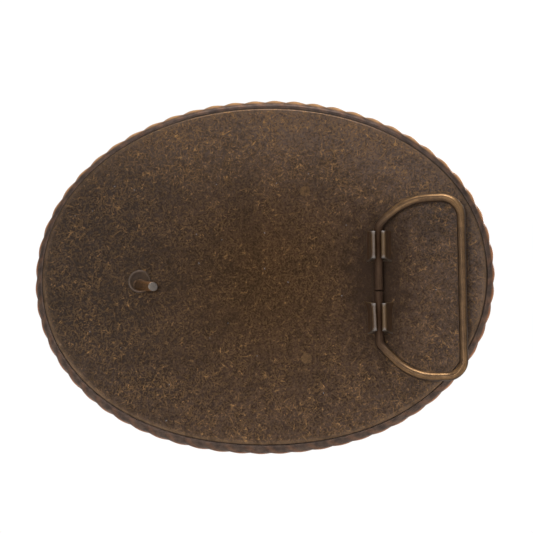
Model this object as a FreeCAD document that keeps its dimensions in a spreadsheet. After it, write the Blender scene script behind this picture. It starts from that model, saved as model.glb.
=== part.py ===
"""Western rope-edge belt buckle, antique brass.

Frame: +Z is up as the buckle is worn, X runs along the belt, +Y points to the
wearer (the back of the buckle).  The origin is the centre of the oval, half way
through the buckle's depth with its bail at rest.  The pieces are built about the
seam between the base plate and what is fixed to its front, and set in last.  The
whole buckle is slightly bowed about an upright axis behind it, so that its two
ends lie nearer the wearer.
All sizes are in millimetres and live in the spreadsheet "sizes".
"""
import FreeCAD, Part
import os
import Sketcher
from math import asin, atan2, cos, degrees, hypot, pi, radians, sin
from FreeCAD import Placement, Rotation, Vector
from Sketcher import Constraint

doc = FreeCAD.newDocument("belt_buckle")

# ---------------------------------------------------------------- sizes
# alias, value or formula, note; a formula uses only rows above it
SIZES = [
    # whole buckle
    ("seam_y", -1.83, "the seam's Y at the middle, so that the origin is mid-depth"),
    ("half_width", 52.3, "half the width over the rope edge"),
    ("half_height", 40.4, "half the height over the rope edge"),
    ("bow", 900.0, "radius of the bow at the seam"),
    # base plate
    ("base_thick", 1.2, "thickness of the base plate"),
    ("base_inset", 1.75, "base plate edge in from the rope's crest"),
    ("base_round", 0.35, "rounding of the base plate's back edge"),
    # rope edge
    ("rope_rad", 2.3, "radius of the rope bead"),
    ("rope_front", 1.4, "rope centre line in front of the seam"),
    ("rope_gap", 0.12, "groove between base plate edge and rope"),
    ("rope_flat", 0.1, "rope radius left unrounded at the crest, each way"),
    ("rope_inner_round", 1.9, "rounding of the rope's inner front edge"),
    ("opening_gap", 0.05, "gap between face plate edge and rope"),
    # face plate
    ("face_thick", 0.6, "thickness of the face plate"),
    ("face_inset", 4.85, "face plate edge in from the crest"),
    # medallion
    ("med_half_w", 33.0, "half width of the medallion"),
    ("med_half_ht", 25.0, "half height of the medallion"),
    ("med_thick", 1.0, "thickness of the medallion's field"),
    ("med_rim", 0.5, "height of the medallion's border"),
    ("med_rim_w", 2.2, "width of the medallion's border"),
    # medallion rivets
    ("rivet_rad", 1.35, "radius of a medallion rivet"),
    ("rivet_x", -10.0, "rivets, X"),
    ("rivet_z", 19.05, "rivets, Z above and below the centre"),
    ("rivet_blind", 0.7, "depth of a rivet's seat in the medallion"),
    ("rivet_proud", 0.05, "peened end standing proud of the base plate"),
    # hinge
    ("hinge_x", -26.7, "hinge line, X on the seam"),
    ("hinge_z", -2.2, "middle of the pair of lugs, Z"),
    ("lug_pitch", 16.4, "distance between the two lugs"),
    ("lug_foot_len", 6.9, "length of a lug at its foot"),
    ("lug_top_len", 6.3, "length of a lug at the top of its ears"),
    ("lug_foot_w", 5.5, "width over the ears at the foot"),
    ("lug_top_w", 3.5, "width over the ears at the top"),
    ("lug_rise", 3.7, "height of the ears above the base plate"),
    ("lug_mouth", 1.5, "gap between the ears"),
    ("lug_floor", 0.9, "wire channel floor above the base plate"),
    ("lug_sink", 0.3, "lug blank sunk into the base plate before trimming"),
    # bail
    ("wire_rad", 0.975, "radius of the bail wire"),
    ("wire_clear", 0.04, "running clearance of the wire in its lugs, radial"),
    ("bail_z", -3.75, "middle of the bail's height, Z"),
    ("bail_half", 20.15, "bail centre line, half height"),
    ("bail_reach", 19.0, "hinge line to the centre line of the bar"),
    ("bail_up", 13.2, "hinge leg, above the bail's middle"),
    ("bail_down", 11.0, "hinge leg, below the bail's middle"),
    ("bend_up", 2.6, "bend at the upper end of the hinge leg"),
    ("bend_down", 3.5, "bend at the lower end of the hinge leg"),
    ("sweep_up", 13.5, "large curve of the upper arm"),
    ("sweep_down", 16.0, "large curve of the lower arm"),
    ("lean_up", 44.0, "upper arm's heading off the hinge line, degrees"),
    ("lean_down", 40.0, "lower arm's heading off the hinge line, degrees"),
    ("corner", 4.0, "bends at the two ends of the bar"),
    ("butt_z", -0.65, "wire ends meet, above the bail's middle"),
    ("butt_gap", 0.3, "gap between the wire ends"),
    ("bail_rest", 7.0, "bail at rest, raised off the plate, degrees"),
    # hook
    ("hook_x", 28.0, "hook flange, X on the seam"),
    ("hook_z", -1.0, "hook flange, Z"),
    ("flange_rad", 2.65, "radius of the hook's flange"),
    ("flange_thick", 0.45, "thickness of the hook's flange"),
    ("flange_sink", 0.5, "flange disc sunk into the base plate before trimming"),
    ("flange_round", 0.3, "rounding of the flange's back edge"),
    ("shank_rad", 1.5, "radius of the hook's shank in the base plate"),
    ("shank_front", -0.9, "front end of the shank rod before trimming, Y"),
    ("shank_extra", 1.2, "shank rod longer than the base plate is thick"),
    ("post_rad", 1.07, "radius of the hook's post over its straight free end"),
    ("root_rad", 1.13, "radius of the post's tapered root, inside the base plate"),
    ("root_len", 2.75, "length of the tapered root from the base plate's back"),
    ("root_sink", 0.6, "start of the root in front of the base plate's back"),
    ("post_len", 6.2, "length of the post from the base plate's back"),
    ("post_lean", 45.0, "lean of the post towards the hinge, degrees"),
    ("post_droop", -13.0, "direction of the lean below level, degrees"),
    ("post_dx", 0.6, "post's root, X from the flange's centre"),
    ("post_dz", -0.7, "post's root, Z from the flange's centre"),
    ("post_round", 0.35, "rounding of the post's tip"),
    # tools, larger than what they cut
    ("strip_margin", 6.0, "plate strips beyond their oval, all round"),
    ("trim_depth", 80.0, "depth of the oval trim"),
    ("trim_half_w", "=1.5 * half_width", "half width of the trim's frame"),
    ("trim_half_ht", "=1.5 * half_height", "half height of the trim's frame"),
    ("sink_over", 2.0, "medallion sink in front of its border"),
    ("cut_depth", 12.0, "rope cutters beyond the seam"),
    ("opening_back", 2.0, "rope opening behind the seam"),
    ("halfspace_ht", 200.0, "height of the cylinders that bound the back and the seam"),
    ("rivet_drill_y", -15.0, "start of the rivet drills, Y"),
    ("rivet_drill_len", 40.0, "length of the rivet drills"),
    ("seat_drill_len", 8.0, "length of the rivet seat drills"),
    ("hook_drill_y", -8.0, "start of the hook drill, Y"),
    ("hook_drill_len", 20.0, "length of the hook drill"),
    # radii about the bow's axis: the larger, the further to the front
    ("base_back_arc", "=bow - base_thick", "base plate's back"),
    ("face_front_arc", "=bow + face_thick", "face plate's front"),
    ("med_field_arc", "=face_front_arc + med_thick", "medallion's field"),
    ("med_front_arc", "=med_field_arc + med_rim", "medallion's border"),
    ("sink_front_arc", "=med_front_arc + sink_over", "front of the medallion's sink"),
    ("rope_back_arc", "=bow + rope_front - rope_rad", "rope blank's back"),
    ("rope_front_arc", "=bow + rope_front + rope_rad", "rope blank's front"),
    ("seat_back_arc", "=bow - cut_depth", "back of the base plate's seat cutter"),
    ("opening_back_arc", "=bow - opening_back", "back of the rope's opening cutter"),
    ("opening_front_arc", "=bow + cut_depth", "front of the rope's opening cutter"),
    # half axes of the ovals
    ("base_half_w", "=half_width - base_inset", "base plate"),
    ("base_half_ht", "=half_height - base_inset", "base plate"),
    ("seat_half_w", "=base_half_w + rope_gap", "base plate's seat in the rope"),
    ("seat_half_ht", "=base_half_ht + rope_gap", "base plate's seat in the rope"),
    ("face_half_w", "=half_width - face_inset", "face plate"),
    ("face_half_ht", "=half_height - face_inset", "face plate"),
    ("opening_half_w", "=face_half_w + opening_gap", "opening of the rope"),
    ("opening_half_ht", "=face_half_ht + opening_gap", "opening of the rope"),
    ("sink_half_w", "=med_half_w - med_rim_w", "medallion's field"),
    ("sink_half_ht", "=med_half_ht - med_rim_w", "medallion's field"),
    # other derived sizes
    ("rope_round", "=rope_rad - rope_flat", "rounding of the rope's outer edges"),
    ("rivet_seam_y", "=bow - sqrt(bow ^ 2 - rivet_x ^ 2)", "the seam's Y at the rivets"),
    ("rivet_front_y", "=rivet_seam_y - face_thick - rivet_blind", "rivets' front end"),
    ("rivet_len", "=rivet_blind + face_thick + base_thick + rivet_proud", "rivet length"),
    ("channel_rad", "=wire_rad + wire_clear", "radius of the lugs' wire channel"),
    ("wire_y", "=base_thick + lug_floor + channel_rad", "hinge line behind the seam"),
    ("butt_high", "=butt_z + butt_gap / 2", "upper wire end"),
    ("butt_low", "=butt_z - butt_gap / 2", "lower wire end"),
]
sheet = doc.addObject("Spreadsheet::Sheet", "sizes")
for row, (alias, content, note) in enumerate(SIZES, start=1):
    sheet.set("A%d" % row, alias)
    sheet.set("B%d" % row, str(content))
    sheet.set("C%d" % row, note)
    sheet.setAlias("B%d" % row, alias)
doc.recompute()

ON_ARC = 1e-3       # an edge within this of a radius lies on it
ROPE_PICK = 4.0     # edges further in from the crest than this bound the rope's opening


def size(alias):
    """The number held in a cell of the sheet."""
    return float(sheet.get(alias))


# ---------------------------------------------------------------- placements
ALONG_Y = Rotation(Vector(1, 0, 0), -90)     # turns a cylinder's axis from Z to Y


def at(x=0.0, y=0.0, z=0.0, turn=Rotation()):
    return Placement(Vector(x, y, z), turn)


def on_seam(x, z):
    """Placement on the seam at x: local Y is the plate's normal to the back."""
    angle = asin(x / size("bow"))
    return at(x, size("bow") * (1 - cos(angle)), z, Rotation(Vector(0, 0, 1), degrees(angle)))


# ---------------------------------------------------------------- sketches
def new_sketch(body, name, role):
    sketch = body.newObject("Sketcher::SketchObject", name)
    plane = next(item for item in body.Origin.OriginFeatures if item.Role == role)
    sketch.AttachmentSupport = [(plane, "")]
    sketch.MapMode = "FlatFace"
    return sketch


def dim(sketch, name, expression, *constraint):
    """Add a named dimension to a sketch and bind it to the sheet."""
    index = sketch.addConstraint(Constraint(*constraint))
    sketch.renameConstraint(index, name)
    sketch.setExpression("Constraints." + name, expression)


def strip_sketch(body, name, back, front, half_w):
    """The bowed strip in plan, between two radii about the bow's axis."""
    sketch = new_sketch(body, name, "XY_Plane")
    half = size(half_w) + size("strip_margin")
    bow = size("bow")
    ends = []
    for radius in (size(front), size(back)):
        angle = asin(half / radius)
        circle = Part.Circle(Vector(0, bow, 0), Vector(0, 0, 1), radius)
        sketch.addGeometry(Part.ArcOfCircle(circle, -pi / 2 - angle, -pi / 2 + angle), False)
        end_y = bow - radius * cos(angle)
        ends.append((Vector(-half, end_y, 0), Vector(half, end_y, 0)))
    for front_end, back_end in zip(*ends):
        sketch.addGeometry(Part.LineSegment(front_end, back_end), False)
    sketch.addConstraint(Constraint("PointOnObject", 0, 3, -2))
    sketch.addConstraint(Constraint("Coincident", 1, 3, 0, 3))
    for side, arc_end in ((2, 1), (3, 2)):
        sketch.addConstraint(Constraint("Coincident", side, 1, 0, arc_end))
        sketch.addConstraint(Constraint("Coincident", side, 2, 1, arc_end))
    sketch.addConstraint(Constraint("Vertical", 2))
    sketch.addConstraint(Constraint("Vertical", 3))
    half_expression = "sizes.%s + sizes.strip_margin" % half_w
    dim(sketch, "axis", "sizes.bow", "DistanceY", -1, 1, 0, 3, bow)
    dim(sketch, "front_rad", "sizes." + front, "Radius", 0, size(front))
    dim(sketch, "back_rad", "sizes." + back, "Radius", 1, size(back))
    dim(sketch, "left", half_expression, "DistanceX", 2, 1, -1, 1, half)
    dim(sketch, "right", half_expression, "DistanceX", -1, 1, 3, 1, half)
    return sketch


def trim_sketch(body, name, half_w, half_ht):
    """An oval in the XZ plane with a frame round it."""
    sketch = new_sketch(body, name, "XZ_Plane")
    oval = Part.Ellipse(Vector(0, 0, 0), size(half_w), size(half_ht))
    oval_index = sketch.addGeometry(oval, False)
    sketch.exposeInternalGeometry(oval_index)     # 1 and 2 are the two axes
    sketch.addConstraint(Constraint("Coincident", oval_index, 3, -1, 1))
    sketch.addConstraint(Constraint("Horizontal", 1))
    dim(sketch, "across", "2 * sizes." + half_w, "Distance", 1, 2 * size(half_w))
    dim(sketch, "upright", "2 * sizes." + half_ht, "Distance", 2, 2 * size(half_ht))

    x, z = size("trim_half_w"), size("trim_half_ht")
    corners = [Vector(-x, -z, 0), Vector(x, -z, 0), Vector(x, z, 0), Vector(-x, z, 0)]
    first = sketch.GeometryCount
    for i in range(4):
        sketch.addGeometry(Part.LineSegment(corners[i], corners[(i + 1) % 4]), False)
    for i in range(4):
        sketch.addConstraint(Constraint("Coincident", first + i, 2, first + (i + 1) % 4, 1))
    for i, direction in enumerate(("Horizontal", "Vertical", "Horizontal", "Vertical")):
        sketch.addConstraint(Constraint(direction, first + i))
    sketch.addConstraint(Constraint("Symmetric", first, 1, first + 1, 2, -1, 1))
    dim(sketch, "frame_w", "sizes.trim_half_w", "DistanceX", -1, 1, first + 1, 1, x)
    dim(sketch, "frame_t", "sizes.trim_half_ht", "DistanceY", -1, 1, first + 1, 2, z)
    return sketch


# ---------------------------------------------------------------- solids
def bowed_oval(name, back, front, half_w, half_ht):
    """A bowed oval plate: a strip of arc padded upright, trimmed to an oval.

    All four sizes are aliases; back and front are radii about the bow's axis.
    """
    body = doc.addObject("PartDesign::Body", name)
    strip = strip_sketch(body, name + "_strip", back, front, half_w)
    pad = body.newObject("PartDesign::Pad", name + "_pad")
    pad.Profile = strip
    pad.SideType = "Symmetric"
    pad.setExpression("Length", "2 * (sizes.%s + sizes.strip_margin)" % half_ht)
    doc.recompute()
    outline = trim_sketch(body, name + "_outline", half_w, half_ht)
    trim = body.newObject("PartDesign::Pocket", name + "_trim")
    trim.Profile = outline
    trim.SideType = "Symmetric"
    trim.setExpression("Length", "sizes.trim_depth")
    body.Tip = trim
    doc.recompute()
    if not trim.Shape.Volume < 0.95 * pad.Shape.Volume:
        raise RuntimeError(name + ": the oval trim cut nothing")
    return body


def lies_on_arc(edge, radius):
    """Whether an edge keeps the given radius about the bow's axis."""
    return all(abs(hypot(point.x, point.y - size("bow")) - radius) < ON_ARC
               for point in edge.discretize(9))


def round_over(body, name, arcs, radius):
    """Round the body's edges that lie on the given radii about the bow's axis."""
    tip = body.Tip
    edges = ["Edge%d" % i for i, edge in enumerate(tip.Shape.Edges, start=1)
             if any(lies_on_arc(edge, size(arc)) for arc in arcs)]
    rounding = body.newObject("PartDesign::Fillet", name)
    rounding.Base = (tip, edges)
    rounding.setExpression("Radius", "sizes." + radius)
    body.Tip = rounding


def cylinder(name, radius, height, placement=Placement(), **base):
    """A cylinder; its sizes, and any x, y or z of its base, are expressions."""
    rod = doc.addObject("Part::Cylinder", name)
    rod.setExpression("Radius", radius)
    rod.setExpression("Height", height)
    rod.Placement = placement
    for axis, expression in base.items():
        rod.setExpression(".Placement.Base." + axis, expression)
    return rod


def round_top(name, rod, radius):
    """Round the top rim of an upright cylinder."""
    doc.recompute()
    top = rod.Placement.Base.z + rod.Height.Value
    rounded = doc.addObject("Part::Fillet", name)
    rounded.Base = rod
    rounded.Edges = [(i, radius, radius) for i, edge in enumerate(rod.Shape.Edges, start=1)
                     if abs(edge.BoundBox.ZMin - top) < 1e-6 and edge.BoundBox.ZLength < 1e-6]
    return rounded


def boolean(kind, name, base, tool):
    result = doc.addObject("Part::" + kind, name)
    result.Base = base
    result.Tool = tool
    return result


def compound(name, members):
    group = doc.addObject("Part::Compound", name)
    group.Links = members
    return group


def rivet_pair(name, length, start_y):
    """Upper and lower cylinders straight along Y on the rivets' axes."""
    return [cylinder(name + tag, "sizes.rivet_rad", length, at(turn=ALONG_Y),
                     x="sizes.rivet_x", y=start_y, z=sign + "sizes.rivet_z")
            for tag, sign in (("_up", ""), ("_low", "-"))]


# ---------------------------------------------------------------- shared tools
def all_behind(name, radius):
    """Everything behind the surface of the given radius about the bow's axis."""
    return cylinder(name, radius, "sizes.halfspace_ht",
                    y="sizes.bow", z="-sizes.halfspace_ht / 2")


behind_back = all_behind("behind_back", "sizes.base_back_arc")
behind_seam = all_behind("behind_seam", "sizes.bow")
rivet_drill = compound("rivet_drill", rivet_pair(
    "rivet_drill", "sizes.rivet_drill_len", "sizes.rivet_drill_y"))
hook_frame = on_seam(size("hook_x"), size("hook_z"))
hinge_frame = on_seam(size("hinge_x"), size("hinge_z"))


# ---------------------------------------------------------------- plates
def make_back_plate():
    """The base plate, its back edge rounded, drilled for the rivets and the hook."""
    blank = bowed_oval("base_blank", "base_back_arc", "bow", "base_half_w", "base_half_ht")
    round_over(blank, "base_rounding", ["base_back_arc"], "base_round")
    hook_drill = cylinder("hook_drill", "sizes.shank_rad", "sizes.hook_drill_len",
                          hook_frame.multiply(at(y=size("hook_drill_y"), turn=ALONG_Y)))
    holes = compound("base_holes", [rivet_drill, hook_drill])
    return boolean("Cut", "back_plate", blank, holes)


def make_face_plate():
    blank = bowed_oval("face_blank", "bow", "face_front_arc", "face_half_w", "face_half_ht")
    return boolean("Cut", "face_plate", blank, rivet_drill)


def make_medallion():
    """An oval with a raised border in front and the rivets' blind seats in its back."""
    blank = bowed_oval("medallion_blank", "face_front_arc", "med_front_arc",
                       "med_half_w", "med_half_ht")
    sink = bowed_oval("medallion_sink", "med_field_arc", "sink_front_arc",
                      "sink_half_w", "sink_half_ht")
    seats = rivet_pair("rivet_seat", "sizes.seat_drill_len", "sizes.rivet_front_y")
    return boolean("Cut", "front_medallion", blank, compound("medallion_cut", [sink] + seats))


def make_rivets():
    return compound("medallion_rivets", rivet_pair(
        "rivet", "sizes.rivet_len", "sizes.rivet_front_y"))


# ---------------------------------------------------------------- rope edge
def make_rope_edge():
    """A round-nosed bead round the oval.

    The base plate is let into its back and the face plate lies inside it.
    """
    blank = bowed_oval("rope_blank", "rope_back_arc", "rope_front_arc",
                       "half_width", "half_height")
    round_over(blank, "rope_rounding", ["rope_back_arc", "rope_front_arc"], "rope_round")
    seat = bowed_oval("rope_seat", "seat_back_arc", "bow", "seat_half_w", "seat_half_ht")
    opening = bowed_oval("rope_opening", "opening_back_arc", "opening_front_arc",
                         "opening_half_w", "opening_half_ht")
    bed = boolean("Cut", "rope_bed", blank, seat)
    ring = boolean("Cut", "rope_ring", bed, opening)
    doc.recompute()

    pick_x = size("half_width") - ROPE_PICK
    pick_z = size("half_height") - ROPE_PICK
    radius = size("rope_inner_round")
    rope = doc.addObject("Part::Fillet", "rope_edge")
    rope.Base = ring
    rope.Edges = [(i, radius, radius) for i, edge in enumerate(ring.Shape.Edges, start=1)
                  if lies_on_arc(edge, size("rope_front_arc"))
                  and all((point.x / pick_x) ** 2 + (point.z / pick_z) ** 2 < 1
                          for point in edge.discretize(9))]
    return rope


# ---------------------------------------------------------------- hinge lugs
def make_hinge_lug(name, above_middle):
    """An eared lug: a tapered block, bored for the wire and slit to its top.

    Its foot follows the base plate's hollow back.
    """
    block = doc.addObject("Part::Wedge", name + "_block")
    for side, alias in (("X%s", "lug_foot_w"), ("X2%s", "lug_top_w"),
                        ("Z%s", "lug_foot_len"), ("Z2%s", "lug_top_len")):
        block.setExpression(side % "min", "-sizes.%s / 2" % alias)
        block.setExpression(side % "max", "sizes.%s / 2" % alias)
    block.setExpression("Ymin", "sizes.base_thick - sizes.lug_sink")
    block.setExpression("Ymax", "sizes.base_thick + sizes.lug_rise")
    bore = cylinder(name + "_bore", "sizes.channel_rad", "sizes.lug_foot_len * 2",
                    y="sizes.wire_y", z="-sizes.lug_foot_len")
    mouth = doc.addObject("Part::Box", name + "_mouth")
    for path, expression in (("Length", "sizes.lug_mouth"),
                             ("Width", "sizes.lug_rise"),
                             ("Height", "sizes.lug_foot_len * 2"),
                             (".Placement.Base.x", "-sizes.lug_mouth / 2"),
                             (".Placement.Base.y", "sizes.wire_y"),
                             (".Placement.Base.z", "-sizes.lug_foot_len")):
        mouth.setExpression(path, expression)
    cutter = boolean("Fuse", name + "_cutter", bore, mouth)
    eared = boolean("Cut", name + "_eared", block, cutter)
    eared.Placement = hinge_frame.multiply(at(z=above_middle))
    return boolean("Common", name, eared, behind_back)


# ---------------------------------------------------------------- bail
def arm_points(side, leg, bend, sweep, lean):
    """Points of one arm from the hinge leg to the bar's corner, as (x, z).

    side is 1 for the upper arm and -1 for the lower one.
    """
    half = size("bail_half")
    angle = radians(lean)
    run = (half - leg - bend * sin(angle) - sweep * (1 - sin(angle))) / cos(angle)
    leg_end = (0.0, leg)
    bend_centre = (bend, leg)
    bend_end = (bend * (1 - cos(angle)), leg + bend * sin(angle))
    run_end = (bend_end[0] + run * sin(angle), bend_end[1] + run * cos(angle))
    sweep_centre = (run_end[0] + sweep * cos(angle), half - sweep)
    sweep_end = (sweep_centre[0], half)
    level_end = (size("bail_reach") - size("corner"), half)
    if run <= 0 or level_end[0] <= sweep_end[0]:
        raise RuntimeError("the bail's arm does not close")
    points = (leg_end, bend_centre, bend_end, run_end, sweep_centre, sweep_end, level_end)
    return [(-x, side * z) for x, z in points]


def line(start, end):
    return Part.LineSegment(Vector(*start, 0), Vector(*end, 0))


def arc(centre, start, end):
    """Arc running anticlockwise from start to end."""
    first = atan2(start[1] - centre[1], start[0] - centre[0])
    last = atan2(end[1] - centre[1], end[0] - centre[0])
    while last <= first:
        last += 2 * pi
    radius = hypot(start[0] - centre[0], start[1] - centre[1])
    return Part.ArcOfCircle(Part.Circle(Vector(*centre, 0), Vector(0, 0, 1), radius), first, last)


def bail_path(body):
    """The wire's centre line, from its upper end round the bar to its lower end."""
    sketch = new_sketch(body, "bail_path", "XZ_Plane")
    half, reach, corner = size("bail_half"), size("bail_reach"), size("corner")
    leg_up, bend_up, bent_up, run_up, sweep_up, swept_up, level_up = arm_points(
        1, size("bail_up"), size("bend_up"), size("sweep_up"), size("lean_up"))
    leg_dn, bend_dn, bent_dn, run_dn, sweep_dn, swept_dn, level_dn = arm_points(
        -1, size("bail_down"), size("bend_down"), size("sweep_down"), size("lean_down"))
    bar_up = (-reach, half - corner)
    bar_dn = (-reach, corner - half)
    path = {
        "leg_up": line((0, size("butt_high")), leg_up),
        "bend_up": arc(bend_up, leg_up, bent_up),
        "run_up": line(bent_up, run_up),
        "sweep_up": arc(sweep_up, run_up, swept_up),
        "top": line(swept_up, level_up),
        "corner_up": arc((corner - reach, half - corner), level_up, bar_up),
        "bar": line(bar_up, bar_dn),
        "corner_dn": arc((corner - reach, corner - half), bar_dn, level_dn),
        "bottom": line(level_dn, swept_dn),
        "sweep_dn": arc(sweep_dn, swept_dn, run_dn),
        "run_dn": line(run_dn, bent_dn),
        "bend_dn": arc(bend_dn, bent_dn, leg_dn),
        "leg_dn": line(leg_dn, (0, size("butt_low"))),
    }
    index = {name: sketch.addGeometry(piece, False) for name, piece in path.items()}
    for i in range(len(path) - 1):
        sketch.addConstraint(Constraint("Tangent", i, 2, i + 1, 1))
    for name in ("leg_up", "leg_dn", "bar"):
        sketch.addConstraint(Constraint("Vertical", index[name]))
    for name in ("top", "bottom"):
        sketch.addConstraint(Constraint("Horizontal", index[name]))
    upper, lower = index["leg_up"], index["leg_dn"]
    sketch.addConstraint(Constraint("PointOnObject", upper, 1, -2))
    sketch.addConstraint(Constraint("PointOnObject", lower, 2, -2))
    for name, alias in (("bend_up", "bend_up"), ("sweep_up", "sweep_up"),
                        ("corner_up", "corner"), ("corner_dn", "corner"),
                        ("sweep_dn", "sweep_down"), ("bend_dn", "bend_down")):
        dim(sketch, name, "sizes." + alias, "Radius", index[name], size(alias))
    dim(sketch, "up_leg", "sizes.bail_up", "DistanceY", -1, 1, upper, 2, size("bail_up"))
    dim(sketch, "dn_leg", "sizes.bail_down", "DistanceY", lower, 1, -1, 1, size("bail_down"))
    dim(sketch, "half_up", "sizes.bail_half", "DistanceY", -1, 1, index["top"], 1, half)
    dim(sketch, "half_dn", "sizes.bail_half", "DistanceY", index["bottom"], 1, -1, 1, half)
    dim(sketch, "reach", "sizes.bail_reach", "DistanceX", index["bar"], 1, -1, 1, reach)
    dim(sketch, "butt", "sizes.butt_gap", "DistanceY", lower, 2, upper, 1, size("butt_gap"))
    dim(sketch, "butt_at", "-sizes.butt_low", "DistanceY", lower, 2, -1, 1, -size("butt_low"))
    dim(sketch, "lean_up", "90 + sizes.lean_up",
        "Angle", index["run_up"], radians(90 + size("lean_up")))
    dim(sketch, "lean_dn", "90 - sizes.lean_down",
        "Angle", index["run_dn"], radians(90 - size("lean_down")))
    doc.recompute()
    return sketch, ["Edge%d" % (i + 1) for i in range(len(path))]


def make_bail():
    """One length of wire bent to a loop, its ends meeting between the lugs.

    It is drawn in its own XZ plane with the hinge line as Z and the bar at -X.
    """
    body = doc.addObject("PartDesign::Body", "bail_loop")
    spine = bail_path(body)
    section = new_sketch(body, "wire_section", "XY_Plane")
    section.AttachmentOffset = at(z=size("butt_high"))
    section.setExpression(".AttachmentOffset.Base.z", "sizes.butt_high")
    section.addGeometry(Part.Circle(Vector(0, 0, 0), Vector(0, 0, 1), size("wire_rad")), False)
    section.addConstraint(Constraint("Coincident", 0, 3, -1, 1))
    dim(section, "wire", "sizes.wire_rad", "Radius", 0, size("wire_rad"))
    doc.recompute()
    wire = body.newObject("PartDesign::AdditivePipe", "wire")
    wire.Profile = section
    wire.Spine = spine
    wire.Mode = "Standard"
    body.Tip = wire
    doc.recompute()
    at_rest = Rotation(Vector(0, 0, 1), -size("bail_rest"))
    body.Placement = hinge_frame.multiply(
        at(y=size("wire_y"), z=size("bail_z") - size("hinge_z"), turn=at_rest))
    return body


# ---------------------------------------------------------------- hook
def post_frame():
    """Placement of the post's sunk start; local Y runs along the post."""
    start = at(size("post_dx"), size("base_thick") - size("root_sink"), size("post_dz"))
    droop = at(turn=Rotation(Vector(0, 1, 0), size("post_droop")))
    lean = at(turn=Rotation(Vector(0, 0, 1), size("post_lean")))
    return hook_frame.multiply(start).multiply(droop).multiply(lean)


def make_hook():
    """A stud: shank in the base plate, round flange on its back, leaning round post."""
    root = doc.addObject("Part::Cone", "hook_root_cone")
    root.setExpression("Radius1", "sizes.root_rad")
    root.setExpression("Radius2", "sizes.post_rad")
    root.setExpression("Height", "sizes.root_len + sizes.root_sink")
    rod = cylinder("hook_post_rod", "sizes.post_rad", "sizes.post_len - sizes.root_len",
                   z="sizes.root_len + sizes.root_sink")
    rounded_rod = round_top("hook_post_round", rod, size("post_round"))
    post = boolean("Fuse", "hook_post_whole", root, rounded_rod)
    post.Placement = post_frame().multiply(at(turn=ALONG_Y))

    disc = cylinder("hook_flange_disc", "sizes.flange_rad",
                    "sizes.flange_thick + sizes.flange_sink")
    flange = round_top("hook_flange", disc, size("flange_round"))
    flange.Placement = hook_frame.multiply(
        at(y=size("base_thick") - size("flange_sink"), turn=ALONG_Y))

    above = boolean("Fuse", "hook_above", flange, post)
    above_trim = boolean("Common", "hook_above_trim", above, behind_back)
    shank_rod = cylinder("hook_shank_rod", "sizes.shank_rad",
                         "sizes.base_thick + sizes.shank_extra",
                         hook_frame.multiply(at(y=size("shank_front"), turn=ALONG_Y)))
    shank = boolean("Common", "hook_shank", shank_rod, behind_seam)
    hook = boolean("Fuse", "hook_prong", above_trim, shank)
    hook.Refine = True
    return hook


# ---------------------------------------------------------------- build, set in, write
pieces = [
    make_back_plate(),
    make_face_plate(),
    make_medallion(),
    make_rivets(),
    make_rope_edge(),
    make_hinge_lug("hinge_lug_upper", size("lug_pitch") / 2),
    make_hinge_lug("hinge_lug_lower", -size("lug_pitch") / 2),
    make_bail(),
    make_hook(),
]
SOLID_COUNTS = {"medallion_rivets": 2}     # every other piece is one solid

doc.recompute()
set_in = at(y=size("seam_y"))
for piece in pieces:
    piece.Placement = set_in.multiply(piece.Placement)
doc.recompute()

for item in doc.Objects:
    if "Invalid" in item.State or "Error" in item.State:
        raise RuntimeError("%s: %s" % (item.Name, item.State))
for piece in pieces:
    if piece.Shape.isNull() or not piece.Shape.isValid():
        raise RuntimeError(piece.Label + ": bad shape")
    if len(piece.Shape.Solids) != SOLID_COUNTS.get(piece.Label, 1):
        raise RuntimeError("%s: %d solids" % (piece.Label, len(piece.Shape.Solids)))

os.makedirs("parts", exist_ok=True)
for piece in pieces:
    piece.Shape.exportStep("parts/%s.step" % piece.Label)
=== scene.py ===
"""Cast oval belt buckle with a rope edge, a hinged wire bail and a hook on its back.

X runs along the buckle (bail at -X, hook at +X), Z is up and +Y is the back.
The plate bows about a line along Z, and the camera looks at the back.
"""

import math

import bpy
import bmesh
import numpy as np
from mathutils import Matrix, Vector


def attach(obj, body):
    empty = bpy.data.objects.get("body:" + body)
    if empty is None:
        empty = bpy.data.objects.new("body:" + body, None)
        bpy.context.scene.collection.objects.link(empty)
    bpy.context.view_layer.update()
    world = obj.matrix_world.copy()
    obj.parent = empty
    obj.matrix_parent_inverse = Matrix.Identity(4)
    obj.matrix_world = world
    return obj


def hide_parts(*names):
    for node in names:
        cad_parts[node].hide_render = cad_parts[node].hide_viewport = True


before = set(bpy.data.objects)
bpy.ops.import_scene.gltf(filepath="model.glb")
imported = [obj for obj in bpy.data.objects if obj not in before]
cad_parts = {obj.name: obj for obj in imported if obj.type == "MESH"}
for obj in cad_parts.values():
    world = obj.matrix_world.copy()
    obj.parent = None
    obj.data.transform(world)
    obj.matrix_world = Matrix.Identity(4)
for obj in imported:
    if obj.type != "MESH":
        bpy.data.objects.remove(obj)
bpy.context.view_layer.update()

MM = 0.001
TAU = 2 * math.pi

# --------------------------------------------------------------- dimensions
# Shapes are worked out in millimetres; meshes are written in metres.
# "Depth" is in from the rope's crest outline; "lift" is off the seam, toward the back.
BOW = 900.0                          # radius of the bow
SEAM = -1.83                         # Y of the seam at the middle of the plate
OUT_A, OUT_B, OUT_N = 52.2, 40.33, 2.07   # half axes and power of the crest outline
PLATE_T = 1.2                        # back plate's thickness
FACE_T = 0.6                         # face plate's thickness
MEDAL_A, MEDAL_B = 33.0, 25.0        # medallion's half axes
MEDAL_LIFT = -1.6                    # medallion's ground
LOBES = 62                           # rope lobes round the edge
ROPE_DEPTH, ROPE_LIFT, ROPE_R = 2.3, -1.4, 2.3   # rope's centre and radius

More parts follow.
